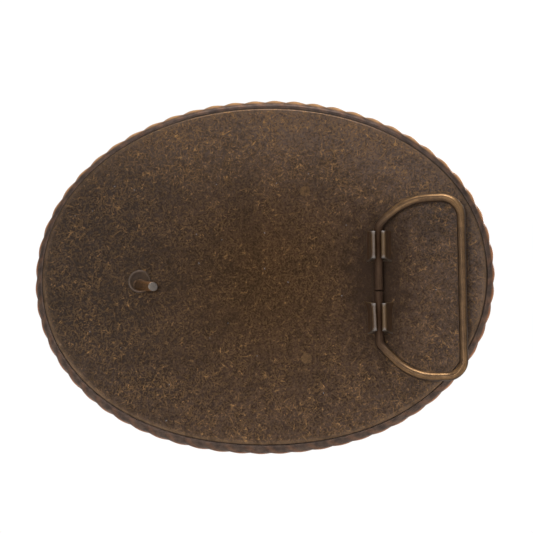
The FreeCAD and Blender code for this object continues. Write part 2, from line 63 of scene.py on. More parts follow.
# Fourier terms round the edge: mean, cos, sin, cos 2, sin 2...
UNEVEN = [-0.077, 0.191, 0.161, 0.031, 0.011, -0.028, 0.194, 0.055, 0.039, -0.015, -0.046]
PLATE_OFF = [0.183, 0.118, 0.061, -0.163, -0.119]   # back plate's edge off the rope
LOBE_DRIFT = [-4.33, 1.498, -0.902, 0.27, -0.107, 0.375, 0.173]   # radians of lobe phase
LOBE_DEPTH = [0.44, 0.02, 0.13, 0.0, -0.03]

# Bail: hinge centre, wire radius, and the loop's plane (outward and lifted off the plate)
HINGE = np.array([-26.6076, 1.6798, -3.75])
OUTWARD = np.array([-0.98847, 0.15141, 0.0])
OUTWARD = OUTWARD / np.linalg.norm(OUTWARD)
LIFTED = np.array([OUTWARD[1], -OUTWARD[0], 0.0])
WIRE_R = 0.975
JOINT, JOINT_GAP = -0.65, 0.3        # where the wire's ends face each other
# The loop's two halves differ a little; the lower is given mirrored. Lean is in degrees.
UPPER = dict(start=JOINT + JOINT_GAP / 2, leg=13.1, bend=2.9, sweep=13.47, lean=52.1,
             half=20.0, reach=18.95, corner=4.6)
LOWER = dict(start=-(JOINT - JOINT_GAP / 2), leg=11.8, bend=2.1, sweep=13.55, lean=44.0,
             half=20.34, reach=19.1, corner=3.8)

LUG_X = -26.7
HOOK_X, HOOK_Z = 28.0, -1.0
POST_ROOT = Vector((28.1547, -0.3648, -1.7954))
POST_DIR = Vector((-0.710649, 0.685329, -0.159064)).normalized()
POST_R, POST_L = 1.07, 5.42
RIVETS = [(-10.0, 19.05), (-10.0, -19.05)]   # x, z


# ------------------------------------------------------------- shape helpers
def unit(value):
    """Value held between 0 and 1."""
    return np.clip(value, 0, 1)


def dome(ratio):
    """Height of a unit circle at a share of its radius; nothing beyond it."""
    return np.sqrt(unit(1 - ratio ** 2))


def bowed(x, z, lift):
    """Point at x, z on the seam and lift along its normal, toward the back."""
    x, z, lift = np.broadcast_arrays(*(np.asarray(v, float) for v in (x, z, lift)))
    shrink = 1 - lift / BOW
    return np.stack([x * shrink, SEAM + BOW - np.sqrt(BOW ** 2 - x ** 2) * shrink, z], -1)


def seat_and_normal(x, z):
    """Seam point at x, z and the normal toward the back there."""
    seat = Vector(bowed(x, z, 0.0))
    return seat, Vector(bowed(x, z, 1.0)) - seat


def even_angles(outline, count, samples):
    """Angles that space count points evenly along a closed outline, and its length."""
    angle = np.linspace(0, TAU, samples)
    x, z = outline(angle)
    run = np.concatenate([[0], np.cumsum(np.hypot(np.diff(x), np.diff(z)))])
    return np.interp(np.arange(count) / count * run[-1], run, angle), run[-1]


def crest_outline(angle):
    """The rope's crest, a superellipse, at polar angles."""
    cos, sin = np.cos(angle), np.sin(angle)
    radius = (np.abs(cos / OUT_A) ** OUT_N + np.abs(sin / OUT_B) ** OUT_N) ** (-1 / OUT_N)
    return radius * cos, radius * sin


class EdgeRing:
    """Points evenly spaced along the crest outline, with outward normals."""

    def __init__(self, count):
        angle, self.length = even_angles(crest_outline, count, 40001)
        self.x, self.z = crest_outline(angle)
        grad_x = np.sign(self.x) * np.abs(self.x / OUT_A) ** (OUT_N - 1) / OUT_A
        grad_z = np.sign(self.z) * np.abs(self.z / OUT_B) ** (OUT_N - 1) / OUT_B
        steep = np.hypot(grad_x, grad_z)
        self.out_x, self.out_z = grad_x / steep, grad_z / steep
        self.turn = np.arange(count) / count * TAU

    def flat(self, depth, shrink=1.0):
        return (self.x - self.out_x * depth) * shrink, (self.z - self.out_z * depth) * shrink

    def at(self, depth, lift, shrink=1.0):
        return bowed(*self.flat(depth, shrink), lift)


def waves(turn, terms):
    """Fourier sum of turn: [mean, cos, sin, cos 2, sin 2...]."""
    out = np.full_like(turn, terms[0])
    for i, term in enumerate(terms[1:]):
        k = i // 2 + 1
        out = out + term * (np.cos(k * turn) if i % 2 == 0 else np.sin(k * turn))
    return out


def hashed(count, seed):
    """Repeatable numbers from 0 to 1."""
    k = np.arange(count) + seed * 7919.0
    value = np.sin(k * 12.9898 + 78.233) * 43758.5453
    return value - np.floor(value)


def wobble(turn, seed, cycles):
    """A smooth periodic unevenness."""
    rand = hashed(len(cycles) * 2, seed)
    out = np.zeros_like(turn)
    for i, cycle in enumerate(cycles):
        weight = 0.4 + 0.6 * rand[2 * i]
        out += weight * np.sin(cycle * turn + TAU * rand[2 * i + 1]) / len(cycles)
    return out


def repeat(fraction, count):
    """Place within each of count repeats, from -0.5 to 0.5."""
    k = fraction * count
    return k - np.floor(k) - 0.5


def quads(count, rows, first=0, close_rows=False):
    """Faces of a grid of closed rows of count points, starting at index first."""
    out = []
    for v in range(rows if close_rows else rows - 1):
        low, high = first + v * count, first + (v + 1) % rows * count
        for u in range(count):
            u1 = (u + 1) % count
            out.append((low + u, low + u1, high + u1, high + u))
    return out


def fan(count, first, centre, turned=False):
    """Triangles from a closed row, starting at index first, to a centre point."""
    faces = [(first + u, first + (u + 1) % count, centre) for u in range(count)]
    return [(b, a, c) for a, b, c in faces] if turned else faces


def lathe(profile, count, axis, origin):
    """Points and faces of a profile [(radius, height)...], radius 0 at both ends, turned."""
    axis = Vector(axis).normalized()
    side = axis.orthogonal().normalized()
    other = axis.cross(side)
    points, faces, rows = [], [], []
    for radius, height in profile:
        base = Vector(origin) + axis * height
        size = 1 if radius < 1e-6 else count
        rows.append(range(len(points), len(points) + size))
        if size == 1:
            points.append(tuple(base))
            continue
        for k in range(count):
            angle = TAU * k / count
            points.append(tuple(base + side * (radius * math.cos(angle))
                                + other * (radius * math.sin(angle))))
    for low, high in zip(rows, rows[1:]):
        for k in range(count):
            k1 = (k + 1) % count
            if len(low) == 1:
                faces.append((low[0], high[k1], high[k]))
            elif len(high) == 1:
                faces.append((low[k], low[k1], high[0]))
            else:
                faces.append((low[k], low[k1], high[k1], high[k]))
    return np.array(points), faces


# -------------------------------------------------------------- mesh helpers
def set_attributes(mesh, attributes):
    for key, values in attributes.items():
        layer = mesh.attributes.new(key, "FLOAT", "POINT")
        layer.data.foreach_set("value", np.asarray(values, np.float32).ravel())


def mesh_object(name, points, faces, attributes=None, uv=None, sharp=None):
    """A smooth mesh object; points in millimetres, sharp edges from an angle in degrees."""
    mesh = bpy.data.meshes.new(name)
    mesh.from_pydata((np.asarray(points, float) * MM).tolist(), [], faces)
    mesh.validate()
    set_attributes(mesh, attributes or {})
    if uv is not None:
        layer = mesh.uv_layers.new(name="along")
        index = np.zeros(len(mesh.loops), np.int32)
        mesh.loops.foreach_get("vertex_index", index)
        layer.data.foreach_set("uv", np.asarray(uv, np.float32)[index].ravel())
    bm = bmesh.new()
    bm.from_mesh(mesh)
    bmesh.ops.recalc_face_normals(bm, faces=bm.faces[:])
    bm.to_mesh(mesh)
    bm.free()
    mesh.shade_smooth()
    ob = bpy.data.objects.new(name, mesh)
    bpy.context.scene.collection.objects.link(ob)
    if sharp is not None:
        mesh.set_sharp_from_angle(angle=math.radians(sharp))
    return ob


class Skin:
    """Rows of points over a piece, with the looks (wear and painted highlights, grime and
    painted shade, bright metal and painted highlights) of each point.
    """

    def __init__(self):
        self.rows, self.looks, self.uv, self.total = [], {}, [], 0

    def add(self, points, uv=None, **looks):
        """Adds a row, or one point, and returns its first index."""
        points = np.atleast_2d(points)
        first, self.total = self.total, self.total + len(points)
        self.rows.append(points)
        for key, values in ({"wear_and_sheen": 0.0, "grime_and_shade": 0.0} | looks).items():
            self.looks.setdefault(key, []).append(np.broadcast_to(values, (len(points),)))
        if uv is not None:
            self.uv.append(np.atleast_2d(np.stack(np.broadcast_arrays(*uv), -1)))
        return first

    def build(self, name, faces, sharp=None):
        looks = {key: np.concatenate(values) for key, values in self.looks.items()}
        uv = np.concatenate(self.uv) if self.uv else None
        return mesh_object(name, np.concatenate(self.rows), faces, looks, uv, sharp)


def enrol(ob, node, body="buckle"):
    """Tells the frame what the object moves with and stands in for."""
    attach(ob, body)
    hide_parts(node)


def bake(ob):
    """Applies the object's modifiers."""
    graph = bpy.context.evaluated_depsgraph_get()
    mesh = bpy.data.meshes.new_from_object(ob.evaluated_get(graph),
                                           preserve_all_data_layers=True, depsgraph=graph)
    old = ob.data
    ob.modifiers.clear()
    ob.data = mesh
    bpy.data.meshes.remove(old)


# ----------------------------------------------------------------- materials
class Nodes:
    """Short forms for building a node tree."""

    def __init__(self, tree):
        self.tree = tree

    def new(self, kind, sockets=None, **props):
        """A node with its properties and input sockets set or linked."""
        node = self.tree.nodes.new(kind)
        for key, value in props.items():
            setattr(node, key, value)
        for key, value in (sockets or {}).items():
            self.put(node.inputs[key], value)
        return node

    def put(self, socket, value):
        if isinstance(value, bpy.types.NodeSocket):
            self.tree.links.new(value, socket)
        else:
            socket.default_value = value

    def math(self, op, *values, clamp=False):
        sockets = dict(enumerate(values))
        return self.new("ShaderNodeMath", sockets, operation=op, use_clamp=clamp).outputs[0]

    def mul(self, product, *others, clamp=False):
        for value in others:
            product = self.math("MULTIPLY", product, value, clamp=clamp)
        return product

    def add(self, one, other):
        return self.math("ADD", one, other)

    def sub(self, one, other):
        return self.math("SUBTRACT", one, other)

    def most(self, one, other):
        return self.math("MAXIMUM", one, other)

    def vector(self, op, one, other):
        key = "Scale" if op == "SCALE" else 1
        return self.new("ShaderNodeVectorMath", {0: one, key: other}, operation=op).outputs[0]

    def ramp(self, value, over, to=(0.0, 1.0), smooth=True):
        """Value's span "over" carried to the span "to"."""
        return self.new("ShaderNodeMapRange",
                        {"Value": value, "From Min": over[0], "From Max": over[1],
                         "To Min": to[0], "To Max": to[1]}, clamp=True,
                        interpolation_type="SMOOTHSTEP" if smooth else "LINEAR"
                        ).outputs["Result"]

    def noise(self, vector, scale, detail=3.0, rough=0.55, dims="3D", out="Fac"):
        return self.new("ShaderNodeTexNoise",
                        {"Vector": vector, "Scale": scale, "Detail": detail,
                         "Roughness": rough}, noise_dimensions=dims).outputs[out]

    def mix(self, share, one, other):
        """Mix of two colours, each a socket or an (r, g, b)."""
        one, other = (c + (1.0,) if isinstance(c, tuple) else c for c in (one, other))
        # 6 and 7 are the colour inputs, 2 the colour output
        return self.new("ShaderNodeMix", {0: share, 6: one, 7: other}, data_type="RGBA",
                        blend_type="MIX", clamp_factor=True).outputs[2]

    def attribute(self, name):
        return self.new("ShaderNodeAttribute", attribute_name=name).outputs["Fac"]


def srgb(red, green, blue):
    """Linear colour of an 8-bit display colour."""
    def one(value):
        value /= 255.0
        return value / 12.92 if value <= 0.04045 else ((value + 0.055) / 1.055) ** 2.4
    return (one(red), one(green), one(blue))


def scaled(colour, *factors):
    """Colour times one factor, or one for each channel."""
    return tuple(v * f for v, f in zip(colour, factors * (3 // len(factors))))


def blank_material(name):
    material = bpy.data.materials.new(name)
    material.use_nodes = True
    material.node_tree.nodes.clear()
    return material, Nodes(material.node_tree)


def point_in_mm(nodes):
    coords = nodes.new("ShaderNodeTexCoord")
    return nodes.vector("SCALE", coords.outputs["Object"], 1 / MM)


def metal_surface(nodes, colour, metal, rough, height, relief, strength=0.5):
    """Ends a tree with a shader bumped by height, relief millimetres deep."""
    bump = nodes.new("ShaderNodeBump", {"Strength": strength, "Distance": relief * MM,
                                        "Height": height})
    shader = nodes.new("ShaderNodeBsdfPrincipled",
                       {"Base Color": colour, "Metallic": metal, "Roughness": rough,
                        "Normal": bump.outputs[0]})
    nodes.new("ShaderNodeOutputMaterial", {"Surface": shader.outputs[0]})
    return shader


def varied(nodes, middle, noise, swing):
    """Middle plus the noise's swing about one half."""
    return nodes.add(middle, nodes.mul(nodes.sub(noise, 0.5), swing))


def scratch_group():
    """Node group: short curved scratches, one in each random cell, at random slants."""
    group = bpy.data.node_groups.new("short_scratches", "ShaderNodeTree")
    face = group.interface
    face.new_socket(name="Vector", in_out="INPUT", socket_type="NodeSocketVector")
    for name, value in (("Cells", 1.0), ("Length", 0.6), ("Width", 0.1), ("Curl", 1.0),
                        ("Share", 0.7)):
        socket = face.new_socket(name=name, in_out="INPUT", socket_type="NodeSocketFloat")
        socket.default_value = value
    face.new_socket(name="Mask", in_out="OUTPUT", socket_type="NodeSocketFloat")
    nodes = Nodes(group)
    given = nodes.new("NodeGroupInput").outputs
    cell = nodes.new("ShaderNodeTexVoronoi",
                     {"Randomness": 1.0, "Vector": given["Vector"], "Scale": given["Cells"]},
                     voronoi_dimensions="2D", feature="F1").outputs
    away = nodes.vector("SUBTRACT", given["Vector"], cell["Position"])
    away = nodes.new("ShaderNodeSeparateXYZ", {0: away}).outputs
    rand = nodes.new("ShaderNodeSeparateColor", {0: cell["Color"]}).outputs
    slant = nodes.mul(rand[0], TAU)
    cos, sin = nodes.math("COSINE", slant), nodes.math("SINE", slant)
    along = nodes.add(nodes.mul(away[0], cos), nodes.mul(away[1], sin))
    across = nodes.sub(nodes.mul(away[1], cos), nodes.mul(away[0], sin))
    bend = nodes.mul(nodes.sub(rand[1], 0.5), given["Curl"])
    across = nodes.add(across, nodes.mul(nodes.mul(along, along), bend))
    reach = nodes.mul(given["Length"],
                      nodes.ramp(rand[2], over=(0.0, 1.0), to=(0.35, 1.0), smooth=False))
    # fade out toward the ends and the sides
    masks = [nodes.ramp(nodes.math("DIVIDE", nodes.math("ABSOLUTE", place), limit),
                        over=(start, 1.0), to=(1.0, 0.0))
             for place, limit, start in ((along, reach, 0.45), (across, given["Width"], 0.2))]
    # a second random number, to leave some cells bare
    chance = nodes.math("FRACT", nodes.mul(rand[1], 7.31))
    picked = nodes.math("LESS_THAN", chance, given["Share"])
    nodes.new("NodeGroupOutput", {"Mask": nodes.mul(*masks, picked)})
    return group


SCRATCH = scratch_group()

# Layers of scratches: whether their ground is warped, shift, cells per mm, half length,
# half width, curl, share of the cells that have one
SCRATCHES = {
    "short": (True, (3.1, 7.7, 0), 1.1, 0.80, 0.19, 1.6, 0.8),
    "tiny": (True, (31.4, 2.9, 0), 1.7, 0.50, 0.15, 2.6, 0.8),
    "long": (True, (13.3, 41.1, 0), 0.62, 1.25, 0.21, 0.8, 0.6),
    "straight": (False, (51.9, 11.3, 0), 0.24, 2.3, 0.17, 0.30, 0.5),
    "middle": (True, (17.3, 29.6, 0), 0.8, 1.1, 0.19, 1.1, 0.75),
    "grey": (False, (91.2, 61.7, 0), 0.30, 0.26, 0.16, 0.5, 0.05),
    "dark": (True, (71.5, 23.8, 0), 0.95, 0.90, 0.24, 1.3, 0.9),
    "longer": (True, (23.7, 83.1, 0), 0.45, 1.5, 0.22, 0.55, 0.5),
}


def scratches(nodes, vector, shift, cells, length, width, curl, share):
    return nodes.new("ShaderNodeGroup",
                     {"Vector": nodes.vector("ADD", vector, shift), "Cells": cells,
                      "Length": length, "Width": width, "Curl": curl, "Share": share},
                     node_tree=SCRATCH).outputs["Mask"]


def rim_tones(nodes, axes, blot, shade, base, rim):
    """The back plate's painted light and shade, with a painted grey reflection toward the rim,
    and how strongly scratches show.
    """
    # squared distance from the middle, as a share of the plate's size
    part_x, part_z = nodes.mul(axes[0], 1 / 52.0), nodes.mul(axes[2], 1 / 40.0)
    spread = nodes.add(nodes.mul(part_x, part_x), nodes.mul(part_z, part_z))
    # painted grey reflection of the light, growing toward the rim (1.0), more so at the top
    # (0.55)
    rim_reflection = nodes.mul(spread, nodes.math("MULTIPLY_ADD", part_z, 0.55, 1.0))
    rim_reflection = nodes.mul(rim_reflection, nodes.ramp(blot, over=(0.2, 0.75), to=(0.8, 1.2)), clamp=True)
    base = nodes.mix(rim_reflection, base, nodes.mix(shade, *rim))
    calm = nodes.add(nodes.ramp(spread, over=(0.0, 0.85), to=(0.55, 1.05)),
                     nodes.ramp(axes[2], over=(5.0, 36.0), to=(0.0, 0.55)))
    # painted shade darkens the hook's side, where fewer scratches show, and painted light
    # lightens the top
    calm = nodes.mul(calm, nodes.ramp(axes[0], over=(8.0, 44.0), to=(1.0, 0.78)))
    hook_side = nodes.mul(nodes.ramp(axes[0], over=(-4.0, 42.0), to=(0.0, 0.80)),
                          nodes.ramp(axes[2], over=(-32.0, -8.0), to=(0.35, 1.0)))
    base = nodes.mix(hook_side, base, srgb(45, 37, 31))
    top = nodes.ramp(axes[2], over=(14.0, 38.0), to=(0.0, 0.13))
    return nodes.mix(top, base, srgb(130, 104, 84)), calm


def hinge_stain(nodes, axes, blot):
    """Mask of a dark, smooth stain round the hinge."""
    parts = [nodes.mul(nodes.sub(axis, middle), 1 / half)
             for axis, middle, half in ((axes[0], -26.0, 7.0), (axes[2], -2.2, 15.5))]
    far = nodes.math("SQRT", nodes.add(*(nodes.mul(part, part) for part in parts)))
    far = varied(nodes, far, blot, swing=0.8)
    return nodes.ramp(far, over=(0.35, 1.6), to=(1.0, 0.0))


def tumbled_brass(name, dark, mid, light, bright, rim=None, fleck=1.0, metal=0.75):
    """Darkened brass, tumbled so that fine curled scratches show the metal again.

    Rim colours (low, mid) add the back plate's tones, with a painted grey reflection toward the
    rim, painted shade on the hook's side and painted light along the top, and its hinge stain.
    """
    dark, mid, light, bright = (srgb(*c) for c in (dark, mid, light, bright))
    material, nodes = blank_material(name)
    axes = nodes.new("ShaderNodeSeparateXYZ", {0: point_in_mm(nodes)}).outputs
    flat = nodes.new("ShaderNodeCombineXYZ", {0: axes[0], 1: axes[2]}).outputs[0]
    # warp the ground by up to about half a millimetre
    warp = nodes.noise(flat, scale=0.9, detail=2.0, out="Color", dims="2D")
    warp = nodes.vector("SCALE", nodes.vector("SUBTRACT", warp, (0.5, 0.5, 0.5)), 0.55)
    bent = nodes.vector("ADD", flat, warp)
    # base: slow clouds, blots, then a fine grain, added by weight
    cloud = nodes.noise(flat, scale=0.055, detail=4.0, rough=0.6, dims="2D")
    blot = nodes.noise(flat, scale=0.45, detail=4.0, rough=0.65, dims="2D")
    grain = nodes.noise(flat, scale=1.9, detail=3.0, rough=0.75, dims="2D")
    tone = nodes.add(nodes.mul(cloud, 0.22),
                     nodes.add(nodes.mul(blot, 0.26), nodes.mul(grain, 0.52)))
    low = scaled(dark, 0.70)
    shade = nodes.ramp(tone, over=(0.37, 0.63), smooth=False)
    base = nodes.mix(shade, low, mid)
    calm = kept = 1.0
    if rim:
        base, calm = rim_tones(nodes, axes, blot, shade, base, [srgb(*c) for c in rim])
    # scratches of several sizes, felted together, each layer by weight
    cut = {key: scratches(nodes, bent if warped else flat, *sizes)
           for key, (warped, *sizes) in SCRATCHES.items()}
    patchy = nodes.ramp(nodes.noise(flat, scale=0.14, detail=3.0, rough=0.6, dims="2D"),
                        over=(0.34, 0.64), to=(0.5, 1.0))
    spots = nodes.ramp(nodes.noise(flat, scale=0.38, detail=2.0, rough=0.5, dims="2D"),
                       over=(0.44, 0.60), to=(0.15, 1.0))
    small = nodes.most(nodes.mul(cut["short"], 0.70), nodes.mul(cut["tiny"], 0.6))
    small = nodes.most(small, nodes.mul(cut["middle"], 0.62))
    large = nodes.mul(nodes.most(cut["long"], nodes.mul(cut["longer"], 0.9)), spots)
    mask = nodes.mul(nodes.most(small, large), patchy)
    straight = nodes.mul(cut["straight"], nodes.ramp(spots, over=(0.15, 1.0), to=(0.4, 1.0)))
    mask = nodes.most(mask, straight)
    mask = nodes.mul(mask, nodes.ramp(grain, over=(0.36, 0.6), to=(0.66, 1.0)))
    wear_and_sheen, grime_and_shade = nodes.attribute("wear_and_sheen"), nodes.attribute("grime_and_shade")
    shown = nodes.mul(mask, nodes.mul(calm, fleck), nodes.sub(1.0, grime_and_shade))
    if rim:
        stain = hinge_stain(nodes, axes, blot)
        # the stain hides 0.85 of the scratches
        kept = nodes.math("MULTIPLY_ADD", stain, -0.85, 1.0)
        shown = nodes.mul(shown, kept)
        base = nodes.mix(nodes.mul(stain, 0.86), base, srgb(42, 30, 22))
    # layers of colour, each at its full strength
    base = nodes.mix(nodes.mul(cut["dark"], 0.42 * min(1.0, fleck)), base, low)
    colour = nodes.mix(nodes.mul(shown, 0.68, clamp=True), base, light)
    hot = nodes.noise(flat, scale=0.9, detail=2.0, rough=0.5, dims="2D")
    hot = nodes.mul(mask, kept, nodes.ramp(hot, over=(0.58, 0.72)))
    colour = nodes.mix(nodes.mul(hot, nodes.mul(calm, 0.62 * fleck)), colour, bright)
    # grey scratch marks: painted glints of light on scratches
    colour = nodes.mix(nodes.mul(cut["grey"], 0.7 * fleck), colour, srgb(112, 112, 116))
    edge = nodes.mul(wear_and_sheen, nodes.ramp(blot, over=(0.3, 0.62), to=(0.45, 1.0)))
    colour = nodes.mix(edge, colour, srgb(124, 100, 79) if rim else light)
    colour = nodes.mix(nodes.mul(grime_and_shade, 0.75), colour, scaled(dark, 0.42))
    # scratched and worn metal is smoother
    rough = varied(nodes, 0.5, grain, swing=0.25)
    rough = nodes.sub(rough, nodes.mul(nodes.most(mask, wear_and_sheen), 0.12))
    height = nodes.add(nodes.mul(grain, 0.6),
                       nodes.add(nodes.mul(blot, 0.8), nodes.mul(mask, -0.25)))
    metal_surface(nodes, colour, metal, rough, height, relief=0.05)
    return material


def cast_brass(name, dark, mid, worn_and_lit, bare_metal_and_highlight, metal=0.75, rough=0.45):
    """Darkened brass on a small part: cloudy, with worn metal, bare metal and painted highlights
    where the wear and bright attributes say.
    """
    dark, mid, worn_and_lit, bare_metal_and_highlight = (srgb(*c) for c in (dark, mid, worn_and_lit, bare_metal_and_highlight))
    material, nodes = blank_material(name)
    point = point_in_mm(nodes)
    blot = nodes.noise(point, scale=0.7, detail=4.0, rough=0.6)
    grain = nodes.noise(point, scale=5.0, detail=4.0, rough=0.7)
    # blots and grain by weight
    tone = nodes.add(nodes.mul(blot, 0.6), nodes.mul(grain, 0.4))
    base = nodes.mix(nodes.ramp(tone, over=(0.38, 0.62)), dark, mid)
    patches = nodes.ramp(nodes.noise(point, scale=2.2, detail=3.0, rough=0.6),
                         over=(0.32, 0.6), to=(0.5, 1.0))
    colour = nodes.mix(nodes.mul(nodes.attribute("wear_and_sheen"), patches), base, worn_and_lit)
    gleam = nodes.mul(nodes.attribute("bright"),
                      nodes.ramp(grain, over=(0.3, 0.6), to=(0.75, 1.0)))
    colour = nodes.mix(gleam, colour, bare_metal_and_highlight)
    # grime and painted shade at their full strength
    colour = nodes.mix(nodes.mul(nodes.attribute("grime_and_shade"), 0.8), colour, scaled(dark, 0.35))
    metal_surface(nodes, colour, metal, varied(nodes, rough, grain, swing=0.3),
                  nodes.add(grain, nodes.mul(blot, 1.2)), relief=0.04)
    return material


def drawn_wire(name, dark, mid, light, metal, rough):
    """Darkened drawn wire: fine draw lines along its length, worn on top."""
    dark, mid, light = (srgb(*c) for c in (dark, mid, light))
    material, nodes = blank_material(name)
    point = point_in_mm(nodes)
    along = nodes.new("ShaderNodeUVMap", uv_map="along").outputs[0]
    stretched = nodes.new("ShaderNodeMapping", {"Scale": (0.35, 7.0, 1.0), "Vector": along})
    lines = nodes.noise(stretched.outputs[0], scale=1.0, detail=4.0, rough=0.65, dims="2D")
    blot = nodes.noise(point, scale=0.55, detail=4.0, rough=0.6)
    grain = nodes.noise(point, scale=4.5, detail=4.0, rough=0.7)
    # lines, blots and grain by weight
    tone = nodes.add(nodes.mul(lines, 0.45),
                     nodes.add(nodes.mul(blot, 0.3), nodes.mul(grain, 0.25)))
    base = nodes.mix(nodes.ramp(tone, over=(0.38, 0.62)), dark, mid)
    grime_and_shade = nodes.attribute("grime_and_shade")
    worn_and_lit = nodes.mul(nodes.attribute("wear_and_sheen"),
                     nodes.ramp(tone, over=(0.4, 0.6), to=(0.35, 1.0)))
    colour = nodes.mix(worn_and_lit, base, light)
    # grime and painted shade at their full strength
    colour = nodes.mix(nodes.mul(grime_and_shade, 0.8), colour, scaled(dark, 0.70, 0.50, 0.32))
    # the grimy hinge leg and the underside in painted shade are dull, the handled loop metallic
    shader = metal_surface(nodes, colour,
                           nodes.ramp(grime_and_shade, over=(0.1, 0.5), to=(metal, metal * 0.4)),
                           varied(nodes, rough, lines, swing=0.3),
                           nodes.add(grain, lines), relief=0.03, strength=0.4)
    nodes.put(shader.inputs["Specular IOR Level"],
              nodes.ramp(grime_and_shade, over=(0.1, 0.4), to=(0.5, 0.04)))
    return material


# rim: the grey of the painted reflection of the light toward the plate's rim
PLATE = tumbled_brass("plate_antique_brass", dark=(50, 35, 20), mid=(67, 47, 29),
                      light=(116, 87, 55), bright=(162, 122, 74),
                      rim=((50, 44, 41), (90, 75, 68)), metal=0.9)
ROPE = cast_brass("rope_antique_brass", dark=(70, 58, 53), mid=(106, 87, 76),
                  worn_and_lit=(222, 148, 96), bare_metal_and_highlight=(218, 174, 118), rough=0.46)
LUG = cast_brass("lug_antique_brass", dark=(80, 58, 42), mid=(96, 72, 52),
                 worn_and_lit=(113, 90, 55), bare_metal_and_highlight=(134, 129, 127), rough=0.46, metal=0.55)
WIRE = drawn_wire("wire_antique_brass", dark=(56, 43, 35), mid=(82, 64, 52),
                  light=(148, 114, 76), metal=0.8, rough=0.38)
HOOK = cast_brass("hook_antique_brass", dark=(43, 31, 22), mid=(58, 43, 30),
                  worn_and_lit=(166, 122, 82), bare_metal_and_highlight=(114, 106, 100), rough=0.4)
RIVET = tumbled_brass("rivet_antique_brass", dark=(66, 48, 30), mid=(90, 67, 42),
                      light=(124, 92, 56), bright=(140, 108, 66), fleck=0.4)
FACE = tumbled_brass("face_antique_brass", dark=(48, 34, 24), mid=(72, 53, 36),
                     light=(150, 112, 68), bright=(170, 130, 80), fleck=0.35)
MEDAL = tumbled_brass("medallion_antique_brass", dark=(52, 37, 26), mid=(82, 61, 40),
                      light=(160, 122, 74), bright=(180, 140, 88), fleck=0.3)


# ---------------------------------------------------------------- back plate
FIELD_RINGS = (0.985, 0.965, 0.94, 0.91, 0.88, 0.84, 0.8, 0.75, 0.7, 0.64,
               0.58, 0.52, 0.46, 0.4, 0.34, 0.28, 0.22, 0.16, 0.1, 0.05)


def make_back_plate():
    count = 720
    ring = EdgeRing(count)
    uneven = waves(ring.turn, UNEVEN)
    edge = 1.57 + uneven + waves(ring.turn, PLATE_OFF)
    rounding = 0.55 + 0.10 * wobble(ring.turn, seed=5, cycles=(4, 7, 11, 17))
    skin = Skin()
    # underside
    for shrink in (0.25, 0.5, 0.75, 0.9):
        skin.add(ring.at(1.65, 0.0, shrink))
    # edge wall: depth past the edge, lift, and grime with painted shade, darkest in the groove
    # at its foot
    for past, lift, grime_and_shade in ((0.1, 0.0, 0.3), (0.0, 0.06, 1.0), (0.0, 0.45, 0.4)):
        skin.add(ring.at(edge + past, lift), grime_and_shade=grime_and_shade)
    # rounded rim, rubbed to bare metal, with painted light making it less bright at the top and
    # brighter toward +X
    skin.add(ring.at(edge, PLATE_T - rounding), wear_and_sheen=0.15, grime_and_shade=0.15)
    rim_rub_and_light = (1 - 0.65 * unit(ring.out_z)) * (1 + 0.45 * unit(ring.out_x))
    for j in range(1, 7):
        angle = j / 6 * math.pi / 2
        skin.add(ring.at(edge + rounding * (1 - math.cos(angle)),
                         PLATE_T - rounding + rounding * math.sin(angle)),
                 wear_and_sheen=(0.25 + 0.50 * math.sin(j / 6 * math.pi)) * rim_rub_and_light,
                 grime_and_shade=0.12 * (1 - j / 6) ** 1.3)
    skin.add(ring.at(edge + rounding + 0.2, PLATE_T + 0.012), wear_and_sheen=0.2)
    skin.add(ring.at(edge + rounding + 0.55, PLATE_T), wear_and_sheen=0.05)
    # the field, with the slight unevenness of a stamped sheet
    for shrink in FIELD_RINGS:
        x, z = ring.flat(2.9 + uneven, shrink)
        ripple = (0.02 * np.sin(x * 0.21 + 1.3) * np.cos(z * 0.17 + 0.4)
                  + 0.012 * np.sin(x * 0.5 + z * 0.36))
        skin.add(bowed(x, z, PLATE_T + ripple * min(1.0, (1 - shrink) * 12)))
    faces = quads(count, len(skin.rows))
    last = skin.total - count
    faces += fan(count, 0, skin.add(bowed(0.0, 0.0, 0.0)), turned=True)
    faces += fan(count, last, skin.add(bowed(0.0, 0.0, PLATE_T)))
    ob = skin.build("base_plate", faces)
    enrol(ob, "back_plate")
    ob.data.materials.append(PLATE)


